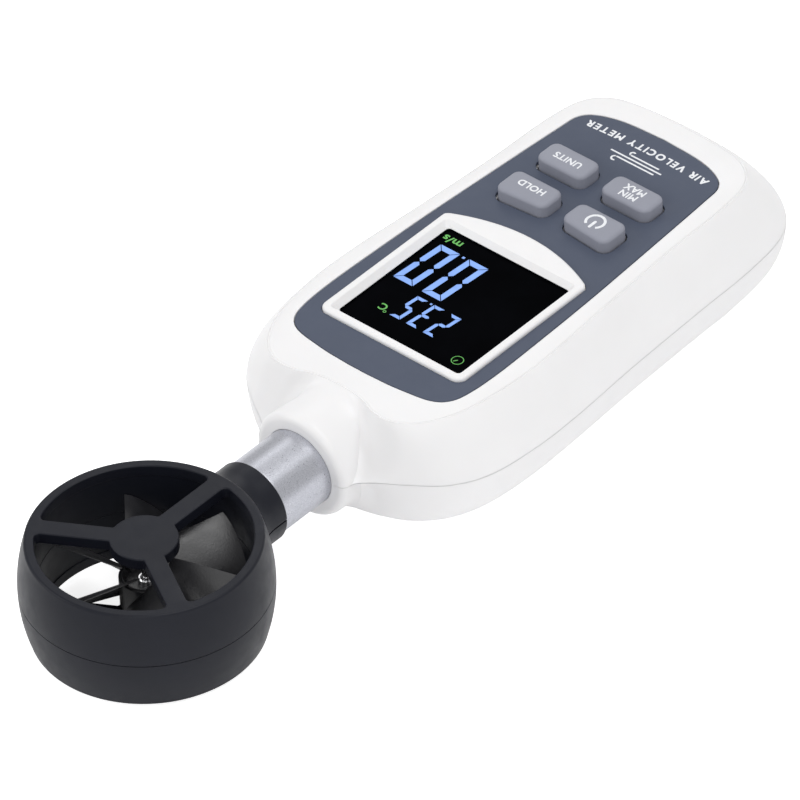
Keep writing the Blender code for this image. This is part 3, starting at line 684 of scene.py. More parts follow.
def inset_ring(points, distance, z):
    """The ring moved inward by this distance, at height z. The ring runs clockwise."""
    flat = [(p.x, p.y) for p in ring_at(points, 0)]
    return [Vector((x, y, z)) for x, y in grown(flat, distance)]


def widest_ring(side):
    """The rim of one half of the case: its widest outline, then half of the collar's mouth."""
    z = AXIS_Z + side * SEAM
    points = [Vector((x, y, z)) for x, y in (*WIDEST, (COLLAR_R, COLLAR_MOUTH_Y + COLLAR_LIP_R))]
    half = spline(points, SPAN_STEPS)
    for across, upward in quarter_turn(2 * SPAN_STEPS):
        rim_y = COLLAR_MOUTH_Y + COLLAR_LIP_R
        half.append(Vector((COLLAR_R * across, rim_y, z + side * COLLAR_R * upward)))
    return whole_ring(half)


def skin(rim, edge, rise, lift, lean, reach):
    """Rings from the rim to the edge. A Bezier leaves the rim upright, or along the neck where
    the blend is 1, and meets the edge at the slope given by lean."""
    rings = []
    knots = [Vector((value, 0)) for value in NECK_BLEND]
    half_blend = [point.x for point in spline(knots, SPAN_STEPS)]
    blends = half_blend + half_blend[-2:0:-1]
    for k in range(SHOULDER_STEPS + 1):
        t = k / SHOULDER_STEPS
        ring = []
        for start, end, blend in zip(rim, edge, blends):
            leave = Vector((0, blend, rise * (1 - blend))).normalized() * lift
            inward = Vector((end.x - start.x, end.y - start.y, 0)).normalized()
            arrive = (inward * math.cos(lean) + Vector((0, 0, rise * math.sin(lean)))) * reach
            a = start + leave
            b = end - arrive
            u = 1 - t
            ring.append(u**3 * start + 3 * t * u**2 * a + 3 * t**2 * u * b + t**3 * end)
        rings.append(ring)
    return rings


def hollow_ring(points, distance, z, neck_y):
    """An outline of the case moved inward, and closed by a wall across the neck end."""
    body = points[:11]
    mirrored = [(-body[1][0], body[1][1]), *body, points[11]]
    half = []
    for last, here, following in zip(mirrored, mirrored[1:], mirrored[2:]):
        along = Vector(following) - Vector(last)
        inward = Vector((along.y, -along.x)).normalized()
        half.append(Vector((*(Vector(here) + inward * distance), z)))
    for x, rise in ((13, 1.2), (7, 0.1), (0, 0)):
        half.append(Vector((x, neck_y + rise, z)))
    return whole_ring(spline(half, 3))


def hollow(near_z, far, far_z, far_inset):
    """The room inside one half of the case, from the parting line to the wall at far_z."""
    rim_y, middle_y, end_y = HOLLOW_NECK_Y
    rim = hollow_ring(WIDEST, WALL, near_z, rim_y)
    middle = hollow_ring(WIDEST, WALL + 1.2, (near_z + far_z) / 2, middle_y)
    end = hollow_ring(far, far_inset, far_z, end_y)
    return loft([rim, middle, end])


def round_lip(bm, side):
    """Carries the flat end of the collar forward and closes it as a rounded lip."""
    end = min(bm.faces, key=lambda face: face.calc_center_median().y)
    ring = list(end.verts)
    start = [vert.co.copy() for vert in ring]
    bm.faces.remove(end)
    seam_z = AXIS_Z + side * SEAM
    for inward, forward in quarter_turn(LIP_STEPS):
        share = 1 - COLLAR_LIP_R * (1 - inward) / COLLAR_R
        y = COLLAR_MOUTH_Y + COLLAR_LIP_R * (1 - forward)
        inner = [bm.verts.new((p.x * share, y, seam_z + (p.z - seam_z) * share)) for p in start]
        for i, vert in enumerate(inner):
            bm.faces.new((ring[i - 1], ring[i], vert, inner[i - 1]))
        ring = inner
    bm.faces.new(ring)
    return bm


def half_case(rings, side):
    """One half of the case as a solid, its sharp edges bevelled along the parting line."""
    bm = round_lip(loft(rings, split=MOUTH_INDEX), side)
    bm.normal_update()
    seam = []
    for edge in bm.edges:
        height = max(abs(vert.co.z - AXIS_Z) for vert in edge.verts)
        if height < 2 * SEAM and edge.calc_face_angle(0) > math.radians(40):
            seam.append(edge)
    bmesh.ops.bevel(bm, geom=seam, offset=SEAM_BEVEL, segments=1, profile=0.5, affect="EDGES")
    return bm


def sleeve_bore():
    """The stepped bore of the collar, with room for the neck tube's flange."""
    throat_end = FLANGE_Y - GAP
    profile = [
        (SLEEVE_R + 0.05, COLLAR_MOUTH_Y - 3), (SLEEVE_R + 0.05, BORE_END_Y),
        (NECK_TUBE_R + GAP, BORE_END_Y), (NECK_TUBE_R + GAP, throat_end),
        (FLANGE_R + GAP, throat_end), (FLANGE_R + GAP, NECK_TAIL_Y + 0.6),
    ]
    return moved(along_y(turned(profile, 64)), z=AXIS_Z)


def key_outline(row, side, growth):
    """A key seen from the front. The keys next to the display follow its arched frame."""
    centre_y = KEY_ROWS[row]
    x0 = side * (KEY_X - KEY_HALF_WIDTH)
    x1 = side * (KEY_X + KEY_HALF_WIDTH)
    drop = KEY_SLANT if row == "lower" else 0.0
    low = centre_y - KEY_HALF_LENGTH
    high = centre_y + KEY_HALF_LENGTH
    corners = [(x0, low), (x1, low - drop), (x1, high), (x0, high)]
    if side < 0:
        corners.reverse()
    return grown(rounded(corners, KEY_CORNER_R), growth)


def make_front_case():
    """The front shell: a soft crease round the panel, a shallow pocket for it, and the collar."""
    rim = widest_ring(1)
    rings = skin(rim, ring_at(CREASE, CREASE_Z), 1, lift=3.6, lean=math.radians(40), reach=2.0)
    rings += [
        inset_ring(CREASE, 0.10, CREASE_Z - 0.10), inset_ring(CREASE, 0.26, CREASE_Z - 0.10),
        inset_ring(CREASE, 0.38, CREASE_Z + 0.06), inset_ring(CREASE, 0.60, CREASE_Z + 0.12),
        inset_ring(PANEL, -1.2, PANEL_Z - 0.02), inset_ring(PANEL, -0.25, PANEL_Z),
        inset_ring(PANEL, -0.07, PANEL_Z - 0.06), inset_ring(PANEL, 0.0, PANEL_Z - 0.22),
        ring_at(PANEL, POCKET_Z),
    ]
    case = raw_object("front_case_shell", half_case(rings, 1))
    carve(case, hollow(AXIS_Z - 1, CREASE, DECK_UNDER_Z, 1.6))
    for (x, y), high in zip(SCREWS, FRONT_POST_ENDS):
        carve(case, moved(pin(FRONT_POST_R, AXIS_Z + 0.4, high, 24), x, y), "UNION")
        carve(case, moved(pin(THREAD_R, AXIS_Z - 1, THREAD_END_Z, 16), x, y))
    carve(case, prism(rounded(rectangle(*CASE_OPENING_HALF), 1.0), *THROUGH_DECK))
    for _, _, row, side in KEYS:
        carve(case, prism(key_outline(row, side, GAP), *THROUGH_DECK))
    carve(case, sleeve_bore())
    piece(case, "body_white", "base", ["front_case"])


def make_rear_case():
    """The rear shell: the battery bay and its door opening, sunk screws and a label recess."""
    rings = skin(widest_ring(-1), ring_at(BACK, 0), -1, lift=6.0, lean=0.0, reach=4.8)
    case = raw_object("rear_case_shell", half_case(rings, -1))
    carve(case, hollow(AXIS_Z + 1, BACK, BACK_WALL, 1.2))
    for (x, y), low in zip(SCREWS, REAR_POST_ENDS):
        carve(case, moved(pin(REAR_POST_R, low, AXIS_Z - 0.2, 24), x, y), "UNION")
    wall_x = BAY_X + BAY_WALL
    wall_y = (BAY_Y[0] - BAY_WALL, BAY_Y[1] + BAY_WALL)
    carve(case, box(-wall_x, wall_x, *wall_y, 1.0, BAY_ROOF_Z + BAY_WALL), "UNION")
    carve(case, box(-BAY_X, BAY_X, *BAY_Y, DOOR_THICK + 0.2, BAY_ROOF_Z))
    carve(case, prism(door_outline(0.18), -1, DOOR_THICK + GAP))
    for x, y in SCREWS:
        profile = [
            (SCREW_HEAD_R + 0.25, -0.2), (SCREW_HEAD_R, 0.1), (SCREW_HEAD_R, SCREW_SEAT_Z),
            (SCREW_HOLE_R, SCREW_SEAT_Z), (SCREW_HOLE_R, AXIS_Z + 1),
        ]
        carve(case, moved(turned(profile, 32), x, y))
    label = rounded(rectangle(*LABEL_HALF, LABEL_PLACE), 1.2)
    carve(case, prism(label, -1, LABEL_DEPTH))
    carve(case, sleeve_bore())
    piece(case, "body_white", "base", ["rear_case"])


def door_outline(growth=0.0):
    half_x = DOOR_HIGH.x
    half_y = (DOOR_HIGH.y - DOOR_LOW.y) / 2
    centre = (0, (DOOR_HIGH.y + DOOR_LOW.y) / 2)
    return grown(rounded(rectangle(half_x, half_y, centre), DOOR_CORNER_R), growth)


def make_battery_door():
    """The door: a clip at its tail edge, a finger grip and five grooves that point the way."""
    levels = [
        (door_outline(-0.15), DOOR_LOW.z), (door_outline(-0.04), DOOR_LOW.z + 0.04),
        (door_outline(), DOOR_LOW.z + 0.15), (door_outline(), DOOR_THICK),
    ]
    door = raw_object("battery_door_cover", slab(levels))
    carve(door, box(-4, 4, BAY_Y[1] - 1.3, BAY_Y[1] - 0.5, 0.6, DOOR_HIGH.z), "UNION")
    grip = []
    for flare, z in ((0.15, -1), (0.15, 0.05), (0, 0.2), (-0.3, 0.45)):
        half_x, half_y = (half + flare for half in GRIP_HALF)
        grip.append((rounded(rectangle(half_x, half_y, (0, GRIP_Y)), 1.1), z))
    carve(door, slab(grip))
    for k in range(5):
        groove = rectangle(5.2 - 0.9 * k, 0.3, (0, GRIP_Y - 4.2 - 1.6 * k))
        carve(door, prism(rounded(groove, 0.28), -1, 0.28))
    piece(door, "body_white", "door", ["battery_door"])


def bezel_outline(growth):
    """The display frame: straight on three sides, arched towards the keys."""
    corners = rounded(rectangle(BEZEL_X, BEZEL_HEAD), BEZEL_CORNER_R)
    head = [point for point in corners if point[1] < 0]
    left_end = [point for point in head if point[0] < 0]
    right_end = [point for point in head if point[0] > 0]
    arch = []
    for k in range(ARC_STEPS + 1):
        across = 1 - 2 * k / ARC_STEPS
        arch.append((ARCH_X * across, ARCH_FOOT_Y + ARCH_RISE * (1 - across**2)))
    shoulder_y = ARCH_FOOT_Y - 0.7
    outline = [*left_end, *right_end, (BEZEL_X, shoulder_y), *arch, (-BEZEL_X, shoulder_y)]
    return grown(outline, growth)


def make_face_panel():
    """The dark grey film, with openings for the display frame and the four keys."""
    outline = [(p.x, p.y) for p in reversed(ring_at(PANEL, 0))]
    top = PANEL_TOP_Z
    edge = grown(outline, -PANEL_GAP)
    levels = [(edge, POCKET_Z + GAP), (edge, top - 0.08), (grown(outline, -PANEL_GAP - 0.06), top)]
    panel = raw_object("face_panel_film", slab(levels))
    carve(panel, prism(bezel_outline(0.12), *THROUGH_DECK))
    for _, _, row, side in KEYS:
        heights = (THROUGH_DECK[0], top - 0.1, top + 0.02, THROUGH_DECK[1])
        growths = (0.3, 0.3, 0.38, 0.38)
        hole = slab([(key_outline(row, side, growth), z) for growth, z in zip(growths, heights)])
        carve(panel, moved(hole, x=-HOLE_SHIFT if side < 0 else 0))
    piece(panel, "panel_grey", "base", ["face_panel"])


def make_display_bezel():
    """The white frame: a soft outer edge, a flat crest and a bank down to the window."""
    count = 360
    fillet = 0.5
    top = BEZEL_TOP_Z

    def outer(growth, z):
        return [(x, y, z) for x, y in evenly(bezel_outline(growth), count)]

    def inner(share, z):
        """The frame's inner edge, this share of the way from its crest down to the window."""
        x0, x1, y0, y1 = (a + (b - a) * share for a, b in zip(BEZEL_CREST, BEZEL_OPENING))
        corners = rounded([(x0, y0), (x1, y0), (x1, y1), (x0, y1)], 0.7)
        return [(x, y, z) for x, y in evenly(corners, count)]

    rings = [outer(0, BEZEL_UNDER_Z), outer(0, top - fillet)]
    for inward, upward in quarter_turn(5):
        rings.append(outer(-fillet * (1 - inward), top - fillet * (1 - upward)))
    bank = (
        (0.0, 0.0), (0.05, 0.015), (0.1, 0.06), (0.16, 0.13), (0.95, 0.96), (1.0, 1.0),
        (1.0, 1.1),
    )
    for share, drop in bank:
        rings.append(inner(share, top - drop))
    bezel = raw_object("display_frame", loft(rings, closed_end=False))
    piece(bezel, "body_white", "base", ["display_bezel"])


# ---- display


SEGMENTS = {"0": "abcdef", "2": "abged", "3": "abgcd", "5": "afgcd"}


def segment_outlines(digit, origin, width, height, thick, slant):
    """Seven-segment strokes. origin is the bottom left corner as the reader sees it."""
    gap = 0.09 * thick
    middle = height / 2
    half = thick / 2
    top = [
        (gap, height), (width - gap, height), (width - thick - gap, height - thick),
        (thick + gap, height - thick),
    ]
    side = [
        (0, height - gap), (thick, height - thick - gap), (thick, middle + half + gap),
        (half, middle + gap), (0, middle + half + gap),
    ]
    bar = [
        (half + gap, middle), (thick + gap, middle + half), (width - thick - gap, middle + half),
        (width - half - gap, middle), (width - thick - gap, middle - half),
        (thick + gap, middle - half),
    ]

    def flipped(shape, across, upward):
        return [(width - u if across else u, height - v if upward else v) for u, v in shape]

    shapes = {
        "a": top, "b": flipped(side, True, False), "c": flipped(side, True, True),
        "d": flipped(top, False, True), "e": flipped(side, False, True), "f": side, "g": bar,
    }
    left, bottom = origin
    found = []
    for key in SEGMENTS[digit]:
        shape = [(left + u + slant * v / height, bottom + v) for u, v in shapes[key]]
        found.append([(-x, -y) for x, y in shape])
    return found


def square(x, y, size):
    return rectangle(size / 2, size / 2, (x, y))


def make_display():
    """The window with its lit digits, units and icons, laid out for a reader at the tail."""
    glass = rounded(rectangle(*GLASS_HALF), 0.8)
    levels = [(glass, GLASS_Z - 1), (glass, GLASS_Z - 0.05), (grown(glass, -0.05), GLASS_Z)]
    window = raw_object("display_window_glass", slab(levels))
    piece(window, "window_black", "base", ["display_window"])
    top = GLASS_Z + MARK_RISE
    small = []
    for digit, left in (("2", -4.15), ("3", -0.45), ("5", 3.25)):
        place = (left, 3.0)
        small += segment_outlines(digit, place, width=2.3, height=6.6, thick=0.66, slant=0.6)
    small.append(square(-2.42, -3.22, 0.4))
    flat_mark("temperature_digits", small, top, "digit_blue", "base")
    large = []
    for left in (0.95, 7.25):
        place = (left, -9.75)
        large += segment_outlines("0", place, width=4.3, height=11.4, thick=1.15, slant=0.72)
    large.append(square(-6.25, 9.42, 0.5))
    flat_mark("speed_digits", large, top, "digit_blue", "base")
    lettering("speed_unit", "m/s", (-10.65, 12.35), 2.35, top, "icon_green", "base", 0.08, wide=3.9)
    lettering("temperature_unit", "C", (-8.2, -8.0), 2.25, top, "icon_green", "base", 0.06)
    icons = [
        ring_mark((-7.2, -9.55), 0.3, 0.12, 0, 360),
        ring_mark(CLOCK_PLACE, 1.1, 0.13, 0, 360),
        stroke(CLOCK_PLACE, (10.2, -12.05), 0.18),
    ]
    flat_mark("display_icons", icons, top, "icon_green", "base")


# ---- lettering and marks


def ring_mark(centre, radius, thick, start, end):
    """An arc-shaped stroke. Angles are in degrees, as the reader sees them."""
    first, last = (math.radians(angle) + math.pi for angle in (start, end))
    outer, inner = (arc(centre, r, first, last, ARC_STEPS) for r in (radius, radius - thick))
    whole = abs(end - start) >= 360
    if whole:
        del outer[-1], inner[-1]
    return (outer, inner, whole)


def stroke(start, end, width):
    """A straight stroke with round ends, as a closed outline."""
    base = math.atan2(end[1] - start[1], end[0] - start[0]) - math.pi / 2
    outline = arc(end, width / 2, base, base + math.pi, 8)
    return outline + arc(start, width / 2, base + math.pi, base + 2 * math.pi, 8)


def arc_band(outer, inner, whole, low, high):
    """A thin solid between two arcs, closed on itself or capped at its two ends."""
    bm = bmesh.new()
    rows = []
    for outline, z in ((outer, low), (outer, high), (inner, high), (inner, low)):
        rows.append([bm.verts.new((x, y, z)) for x, y in outline])
    count = len(outer)
    for lower, upper in zip(rows, rows[1:] + rows[:1]):
        for i in range(count if whole else count - 1):
            j = (i + 1) % count
            bm.faces.new((lower[i], lower[j], upper[j], upper[i]))
    if not whole:
        bm.faces.new([row[0] for row in rows])
        bm.faces.new([row[-1] for row in reversed(rows)])
    return bm


def flat_mark(name, shapes, z, slot, body):
    """Strokes, arcs and outlines as thin closed solids in one object."""
    low = z - MARK_THICK
    solids = []
    for shape in shapes:
        is_arc = isinstance(shape, tuple)
        solids.append(arc_band(*shape, low, z) if is_arc else prism(shape, low, z))
    piece(raw_object(name, joined(solids)), slot, body, flat_weight=False)


def letters(text, size):
    """A flat mesh of the text, in millimetres, starting at x = 0 with its foot on y = 0."""
    curve = bpy.data.curves.new("text", "FONT")
    curve.body = text
    curve.size = size
    curve.extrude = 0.5
    curve.space_character = 1.05
    curve.resolution_u = 4
    source = bpy.data.objects.new("text", curve)
    bpy.context.scene.collection.objects.link(source)
    graph = bpy.context.evaluated_depsgraph_get()
    data = bpy.data.meshes.new_from_object(source.evaluated_get(graph))
    bpy.data.objects.remove(source)
    bpy.data.curves.remove(curve)
    bm = bmesh.new()
    bm.from_mesh(data)
    bpy.data.meshes.remove(data)
    bmesh.ops.remove_doubles(bm, verts=bm.verts, dist=1e-5)
    bmesh.ops.scale(bm, vec=(1, 1, PRINT_THICK), verts=bm.verts)
    left = min(vert.co.x for vert in bm.verts)
    return moved(bm, x=-left)


def width_of(bm):
    return max(vert.co.x for vert in bm.verts)


def facing_reader(bm, foot, z, turn=0.0):
    """Turns the text for a reader whose up is -Y and puts the middle of its foot line here."""
    moved(bm, x=-width_of(bm) / 2)
    spun(bm, Matrix.Rotation(math.pi + turn, 3, "Z"))
    return moved(bm, foot[0], foot[1], z - PRINT_THICK / 2)


def bold_letters(text, size, bold):
    """The text with thicker strokes, made by joining on copies moved by a small step."""
    flat = letters(text, size)
    copies = [moved(flat.copy(), x, y) for x, y in ((bold, 0), (0, bold), (bold, bold))]
    thick = raw_object("word", flat)
    for bm in copies:
        carve(thick, bm, "UNION")
    bm = bmesh.new()
    bm.from_mesh(thick.data)
    bpy.data.objects.remove(thick)
    bmesh.ops.scale(bm, vec=(1 / METRES_PER_MM,) * 3, verts=bm.verts)
    return moved(bm, y=-bold / 2)


def joined(parts):
    """One bmesh from several, which are used up."""
    whole = bmesh.new()
    for bm in parts:
        scratch = bpy.data.meshes.new("scratch")
        bm.to_mesh(scratch)
        bm.free()
        whole.from_mesh(scratch)
        bpy.data.meshes.remove(scratch)
    return whole


def lettering(name, text, foot, size, z, slot, body, bold=0.1, wide=None):
    """One printed word, stretched to this width if it is given."""
    bm = bold_letters(text, size, bold)
    if wide is not None:
        bmesh.ops.scale(bm, vec=(wide / width_of(bm), 1, 1), verts=bm.verts)
    piece(raw_object(name, facing_reader(bm, foot, z)), slot, body, flat_weight=False)


def arc_lettering(name, text, half_span, foot_y, sag, size, z, bold):
    """Letters along a shallow arc that follows the panel's tail edge."""
    glyphs = {letter: bold_letters(letter, size, bold) for letter in sorted(set(text) - {" "})}
    widths = [WORD_GAP if letter == " " else width_of(glyphs[letter]) for letter in text]
    gap = (2 * half_span - sum(widths)) / (len(text) - 1)
    placed = []
    reach = half_span
    for letter, width in zip(text, widths):
        x = reach - width / 2
        reach -= width + gap
        if letter == " ":
            continue
        across = x / half_span
        turn = math.atan2(-2 * sag * across, half_span)
        placed.append(facing_reader(glyphs[letter].copy(), (x, foot_y - sag * across**2), z, turn))
    piece(raw_object(name, joined(placed)), "print_white", "base", flat_weight=False)


def make_marks():
    """The legends on the keys and the print on the panel."""
    key_z = KEY_TOP_Z + MARK_RISE
    for name, word, foot, size, wide, body in KEY_WORDS:
        lettering(name, word, foot, size, key_z, "print_white", body, wide=wide)
    bar = stroke((7.4, 25.95), (7.4, 27.5), 0.55)
    power = [ring_mark((7.35, 27.6), 1.9, 0.5, 128, 412), bar]
    flat_mark("power_mark", power, key_z, "print_white", "power_key")
    panel_z = PANEL_TOP_Z + MARK_RISE
    arc_lettering("panel_title", TITLE, 13.3, 50.8, 0.55, size=2.15, z=panel_z, bold=0.14)
    make_wind_mark(panel_z)


def make_wind_mark(z):
    """A plain wind sign: three gusts with curled ends."""
    shapes = []
    width = 0.34
    for y, left, right, curl in GUSTS:
        shapes.append(stroke((left, y), (right, y), width))
        if curl:
            side = 1 if curl > 0 else -1
            centre = (right, y - curl + side * width / 2)
            shapes.append(ring_mark(centre, abs(curl), width, -90 * side, 130 * side))
    flat_mark("wind_mark", shapes, z, "print_white", "base")


# ---- keys and small parts


def make_key(node, body, row, side):
    """A soft rubber key: foot flange, upright walls, round shoulder and a slightly crowned top."""
    def ring(growth, z):
        return [(x, y, z) for x, y in key_outline(row, side, growth)]

    stop = DECK_UNDER_Z - GAP
    rings = [ring(0.6, KEY_FOOT_Z), ring(0.6, stop), ring(0, stop), ring(0, KEY_TOP_Z - KEY_FILLET)]
    for inward, upward in quarter_turn(7):
        height = KEY_TOP_Z - KEY_CROWN - KEY_FILLET * (1 - upward)
        rings.append(ring(-KEY_FILLET * (1 - inward), height))
    edge = rings[-1]
    centre = Vector((side * KEY_X, KEY_ROWS[row], 0))
    for share in (0.9, 0.7, 0.4):
        inner = []
        for x, y, _ in edge:
            point = centre.lerp(Vector((x, y, 0)), share)
            inner.append((point.x, point.y, KEY_TOP_Z - KEY_CROWN * share**2))
        rings.append(inner)
    key = raw_object(f"{node}_cap", loft(rings))
    piece(key, "key_grey", body, [node])


def make_sleeve():
    """The metal tube round the neck, with a soft edge towards the head."""
    edge = 0.22
    profile = [
        (SLEEVE_BORE_R, SLEEVE_HEAD_Y), (SLEEVE_R - edge, SLEEVE_HEAD_Y),
        (SLEEVE_R - 0.06, SLEEVE_HEAD_Y + 0.08), (SLEEVE_R, SLEEVE_HEAD_Y + edge),
        (SLEEVE_R, SLEEVE_TAIL_Y), (SLEEVE_BORE_R, SLEEVE_TAIL_Y),
    ]
    sleeve = raw_object("silver_sleeve", moved(along_y(turned_ring(profile, 128)), z=AXIS_Z))
    piece(sleeve, "sleeve_silver", "base", ["neck_sleeve"])


# ---- vane head


def barrel():
    """The round head: bulged walls and a flat rim with a soft edge on both faces."""
    top = HEAD_HALF - RIM_FILLET
    upper = []
    for k in range(WALL_STEPS + 1):
        share = k / WALL_STEPS
        upper.append((VANE_R - (VANE_R - RIM_R) * share**2, top * share))
    for inward, upward in quarter_turn(5):
        upper.append((RIM_R - RIM_FILLET * (1 - inward), top + RIM_FILLET * upward))
    lower = [(radius, -z) for radius, z in reversed(upper[1:])]
    return at_vane(turned(lower + upper, 144))


def neck():
    """The round neck: it flares into the barrel, narrows inside the sleeve and ends in a flange."""
    profile = [(NECK_R + FLARE_RISE + 0.05, VANE_Y + 14)]
    for k in range(FLARE_STEPS + 1):
        share = 1 - k / FLARE_STEPS
        rise = FLARE_RISE * (1 - math.sqrt(1 - (0.999 * share) ** 2))
        profile.append((NECK_R + rise, FLARE_END_Y - FLARE_LENGTH * share))
    end = SLEEVE_HEAD_Y - 0.1
    profile += [
        (NECK_R, end - 0.2), (NECK_R - 0.06, end - 0.06), (NECK_R - 0.2, end), (NECK_TUBE_R, end),
        (NECK_TUBE_R, FLANGE_Y), (FLANGE_R, FLANGE_Y), (FLANGE_R, NECK_TAIL_Y),
    ]
    return moved(along_y(turned(profile, 96)), z=AXIS_Z)


def guard_opening(start, growth):
    """The opening between the arm at this angle and the next, with rounded corners."""
    rim = OPENING_R + growth
    hub = GUARD_HUB_R - growth
    half = ARM_HALF - growth
    centres = []
    for corner, reach in ((RIM_CORNER_R, rim - RIM_CORNER_R), (HUB_CORNER_R, hub + HUB_CORNER_R)):
        y = half + corner
        centres.append((math.sqrt(reach**2 - y**2), y))
    rim_angle, hub_angle = (math.atan2(y, x) for x, y in centres)
    near = arc(centres[1], HUB_CORNER_R, hub_angle + math.pi, 1.5 * math.pi, 5)
    near += arc(centres[0], RIM_CORNER_R, -math.pi / 2, rim_angle, 7)
    sector = 2 * math.pi / len(ARM_ANGLES)
    mirror = Matrix.Rotation(sector, 2) @ Matrix(((1, 0), (0, -1)))
    far = [tuple(mirror @ Vector(point)) for point in reversed(near)]
    rim_arc = arc((0, 0), rim, rim_angle, sector - rim_angle, 48)[1:-1]
    hub_arc = arc((0, 0), hub, sector - hub_angle, hub_angle, 20)[1:-1]
    spin = Matrix.Rotation(math.radians(start), 2)
    return [tuple(spin @ Vector(point)) for point in near + rim_arc + far + hub_arc]


def make_head_shell(name, node, side):
    """One half of the vane head: half of the barrel and neck, a guard and a bearing's seat."""
    shell = raw_object(name, barrel())
    carve(shell, neck(), "UNION")
    inner = HEAD_HALF - GUARD_THICK
    carve(shell, at_vane(turned([(DUCT_R, -inner), (DUCT_R, inner)], 144)))
    bore = [(NECK_BORE_R, VANE_Y + DUCT_R + 1.1), (NECK_BORE_R, -29)]
    carve(shell, moved(along_y(turned(bore, 48)), z=AXIS_Z))
    low, high = sorted((side * HEAD_SEAM, side * 20))
    carve(shell, box(-30, 30, VANE_Y - 30, -20, AXIS_Z + low, AXIS_Z + high), "INTERSECT")
    flares = (
        (0, inner - 1), (0, HEAD_HALF - 0.3), (0.05, HEAD_HALF - 0.12), (0.25, HEAD_HALF + 0.03),
        (0.25, HEAD_HALF + 1),
    )
    for start in ARM_ANGLES:
        levels = [(guard_opening(start, growth), side * z) for growth, z in flares]
        carve(shell, at_vane(slab(levels)))
    boss = [(BEARING_BOSS_R - 0.3, 1.6), (BEARING_BOSS_R, 1.3), (BEARING_BOSS_R, -0.5)]
    profile = [(radius, side * (inner - depth)) for radius, depth in boss]
    carve(shell, at_vane(turned(profile, 64)), "UNION")
    pocket = [(BEARING_R + 0.1, side * (inner - 3)), (BEARING_R + 0.1, side * (HEAD_HALF - 1.2))]
    carve(shell, at_vane(turned(pocket, 48)))
    slit = (AXIS_Z - NECK_SLIT, AXIS_Z + NECK_SLIT)
    for x in (NECK_R, -NECK_R):
        carve(shell, box(x - 0.9, x + 0.9, -59, -50, *slit))
    piece(shell, "head_black", "base", [node])


def blade(angle):
    """A thin pitched blade, cambered and slightly twisted, with rounded edges."""
    rings = []
    root_r = HUB_R - 0.6
    steps = 14
    side_steps = 12
    for k in range(steps + 1):
        t = k / steps
        radius = root_r + (BLADE_TIP_R - root_r) * t
        pitch = math.radians(BLADE_PITCH + BLADE_TWIST * t)
        half_chord = BLADE_ROOT_CHORD / 2 + BLADE_FLARE * t
        along = Vector((0, math.sin(pitch), math.cos(pitch)))
        across = Vector((0, -math.cos(pitch), math.sin(pitch)))
        ring = []
        for sign in (-1, 1):
            for i in range(side_steps + 1):
                u = sign * (-1 + 2 * i / side_steps)
                thin = 0.25 + 0.75 * math.sqrt(max(0.0, 1 - abs(u) ** 10))
                offset = sign * thin * BLADE_THICK / 2 + BLADE_CAMBER * (1 - u * u)
                point = along * half_chord * u + across * offset
                bend = point.y / radius
                ring.append((radius * math.cos(bend), radius * math.sin(bend), point.z))
        rings.append(ring)
    return spun(loft(rings), Matrix.Rotation(angle, 3, "Z"))


def make_impeller():
    """The wheel: a dished hub with a metal bush in its floor, six blades and the pin."""
    profile = [
        (BUSH_R, -3.6), (2.6, -3.6), (2.6, -4.6), (HUB_R - 0.5, -4.6), (HUB_R - 0.15, -4.45),
        (HUB_R, -4.1), (HUB_R, 1.35), (HUB_R - 0.08, 1.55), (HUB_R - 0.25, 1.65),
        (HUB_R - 0.6, 1.65), (HUB_R - 0.8, 1.5), (3.2, 0.4), (2.2, 0.15), (BUSH_R, 0.1),
    ]
    impeller = raw_object("impeller_wheel", at_vane(turned_ring(profile, 96)))
    for i in range(BLADE_COUNT):
        carve(impeller, at_vane(blade(2 * math.pi * i / BLADE_COUNT + BLADE_START)), "UNION")
    piece(impeller, "impeller_black", "rotor", ["impeller"])
    bush = [
        (SHAFT_R + 0.02, -3.4), (BUSH_R - 0.02, -3.4), (BUSH_R - 0.02, 0.95), (BUSH_R - 0.12, 1.05),
        (SHAFT_R + 0.3, 1.05), (SHAFT_R + 0.02, 0.6),
    ]
    ring = raw_object("impeller_bush_ring", at_vane(turned_ring(bush, 64)))
    piece(ring, "steel", "rotor", ["impeller_bush"])
    end = SHAFT_HALF
    shaft = turned([(0.3, -end), (SHAFT_R, 0.4 - end), (SHAFT_R, end - 0.4), (0.3, end)], 48)
    piece(raw_object("impeller_pin", at_vane(shaft)), "steel", "rotor", ["impeller_shaft"])


# ---- carried-over nodes


def dress_cad_nodes():
    """Every CAD node that is shown as it is gets the look of its record slot."""
    slots = {entry["node"]: entry["material_slot"] for entry in frame["record"]["subparts"]}
    for name, obj in frame["nodes"].items():
        obj.data.materials.clear()
        obj.data.materials.append(look_of(slots[name]))


# ---- stage

FLOOR_GLOW = 0.2  # of the floor towards the meter
FLOOR_GLOW_SEEN = 0.8  # and towards the camera
SKY_STRENGTH = 0.60
LIGHT_TARGET = Vector((0, -0.02, 0.01))
LIGHTS = (
    # name, place in metres, size in metres, watts
    ("overhead", (0.20, 0.05, 0.78), (0.6, 0.6), 2.2),
    ("front_left", (-0.55, -0.55, 0.45), (0.5, 0.4), 1.4),
    ("front_right", (0.40, -0.65, 0.40), (0.5, 0.5), 1.0),
    ("behind", (-0.42, 0.65, 0.58), (0.5, 0.4), 0.7),
)
CAMERA_AZIMUTH = math.radians(42.808)
CAMERA_ELEVATION = math.radians(39.833)
CAMERA_ROLL = math.radians(2.407)
CAMERA_DISTANCE = 1844.3
CAMERA_SHIFT = (9.137, 16.43)  # of the aim, to the picture's left and down
LENS = 497.97
SENSOR = 36.0


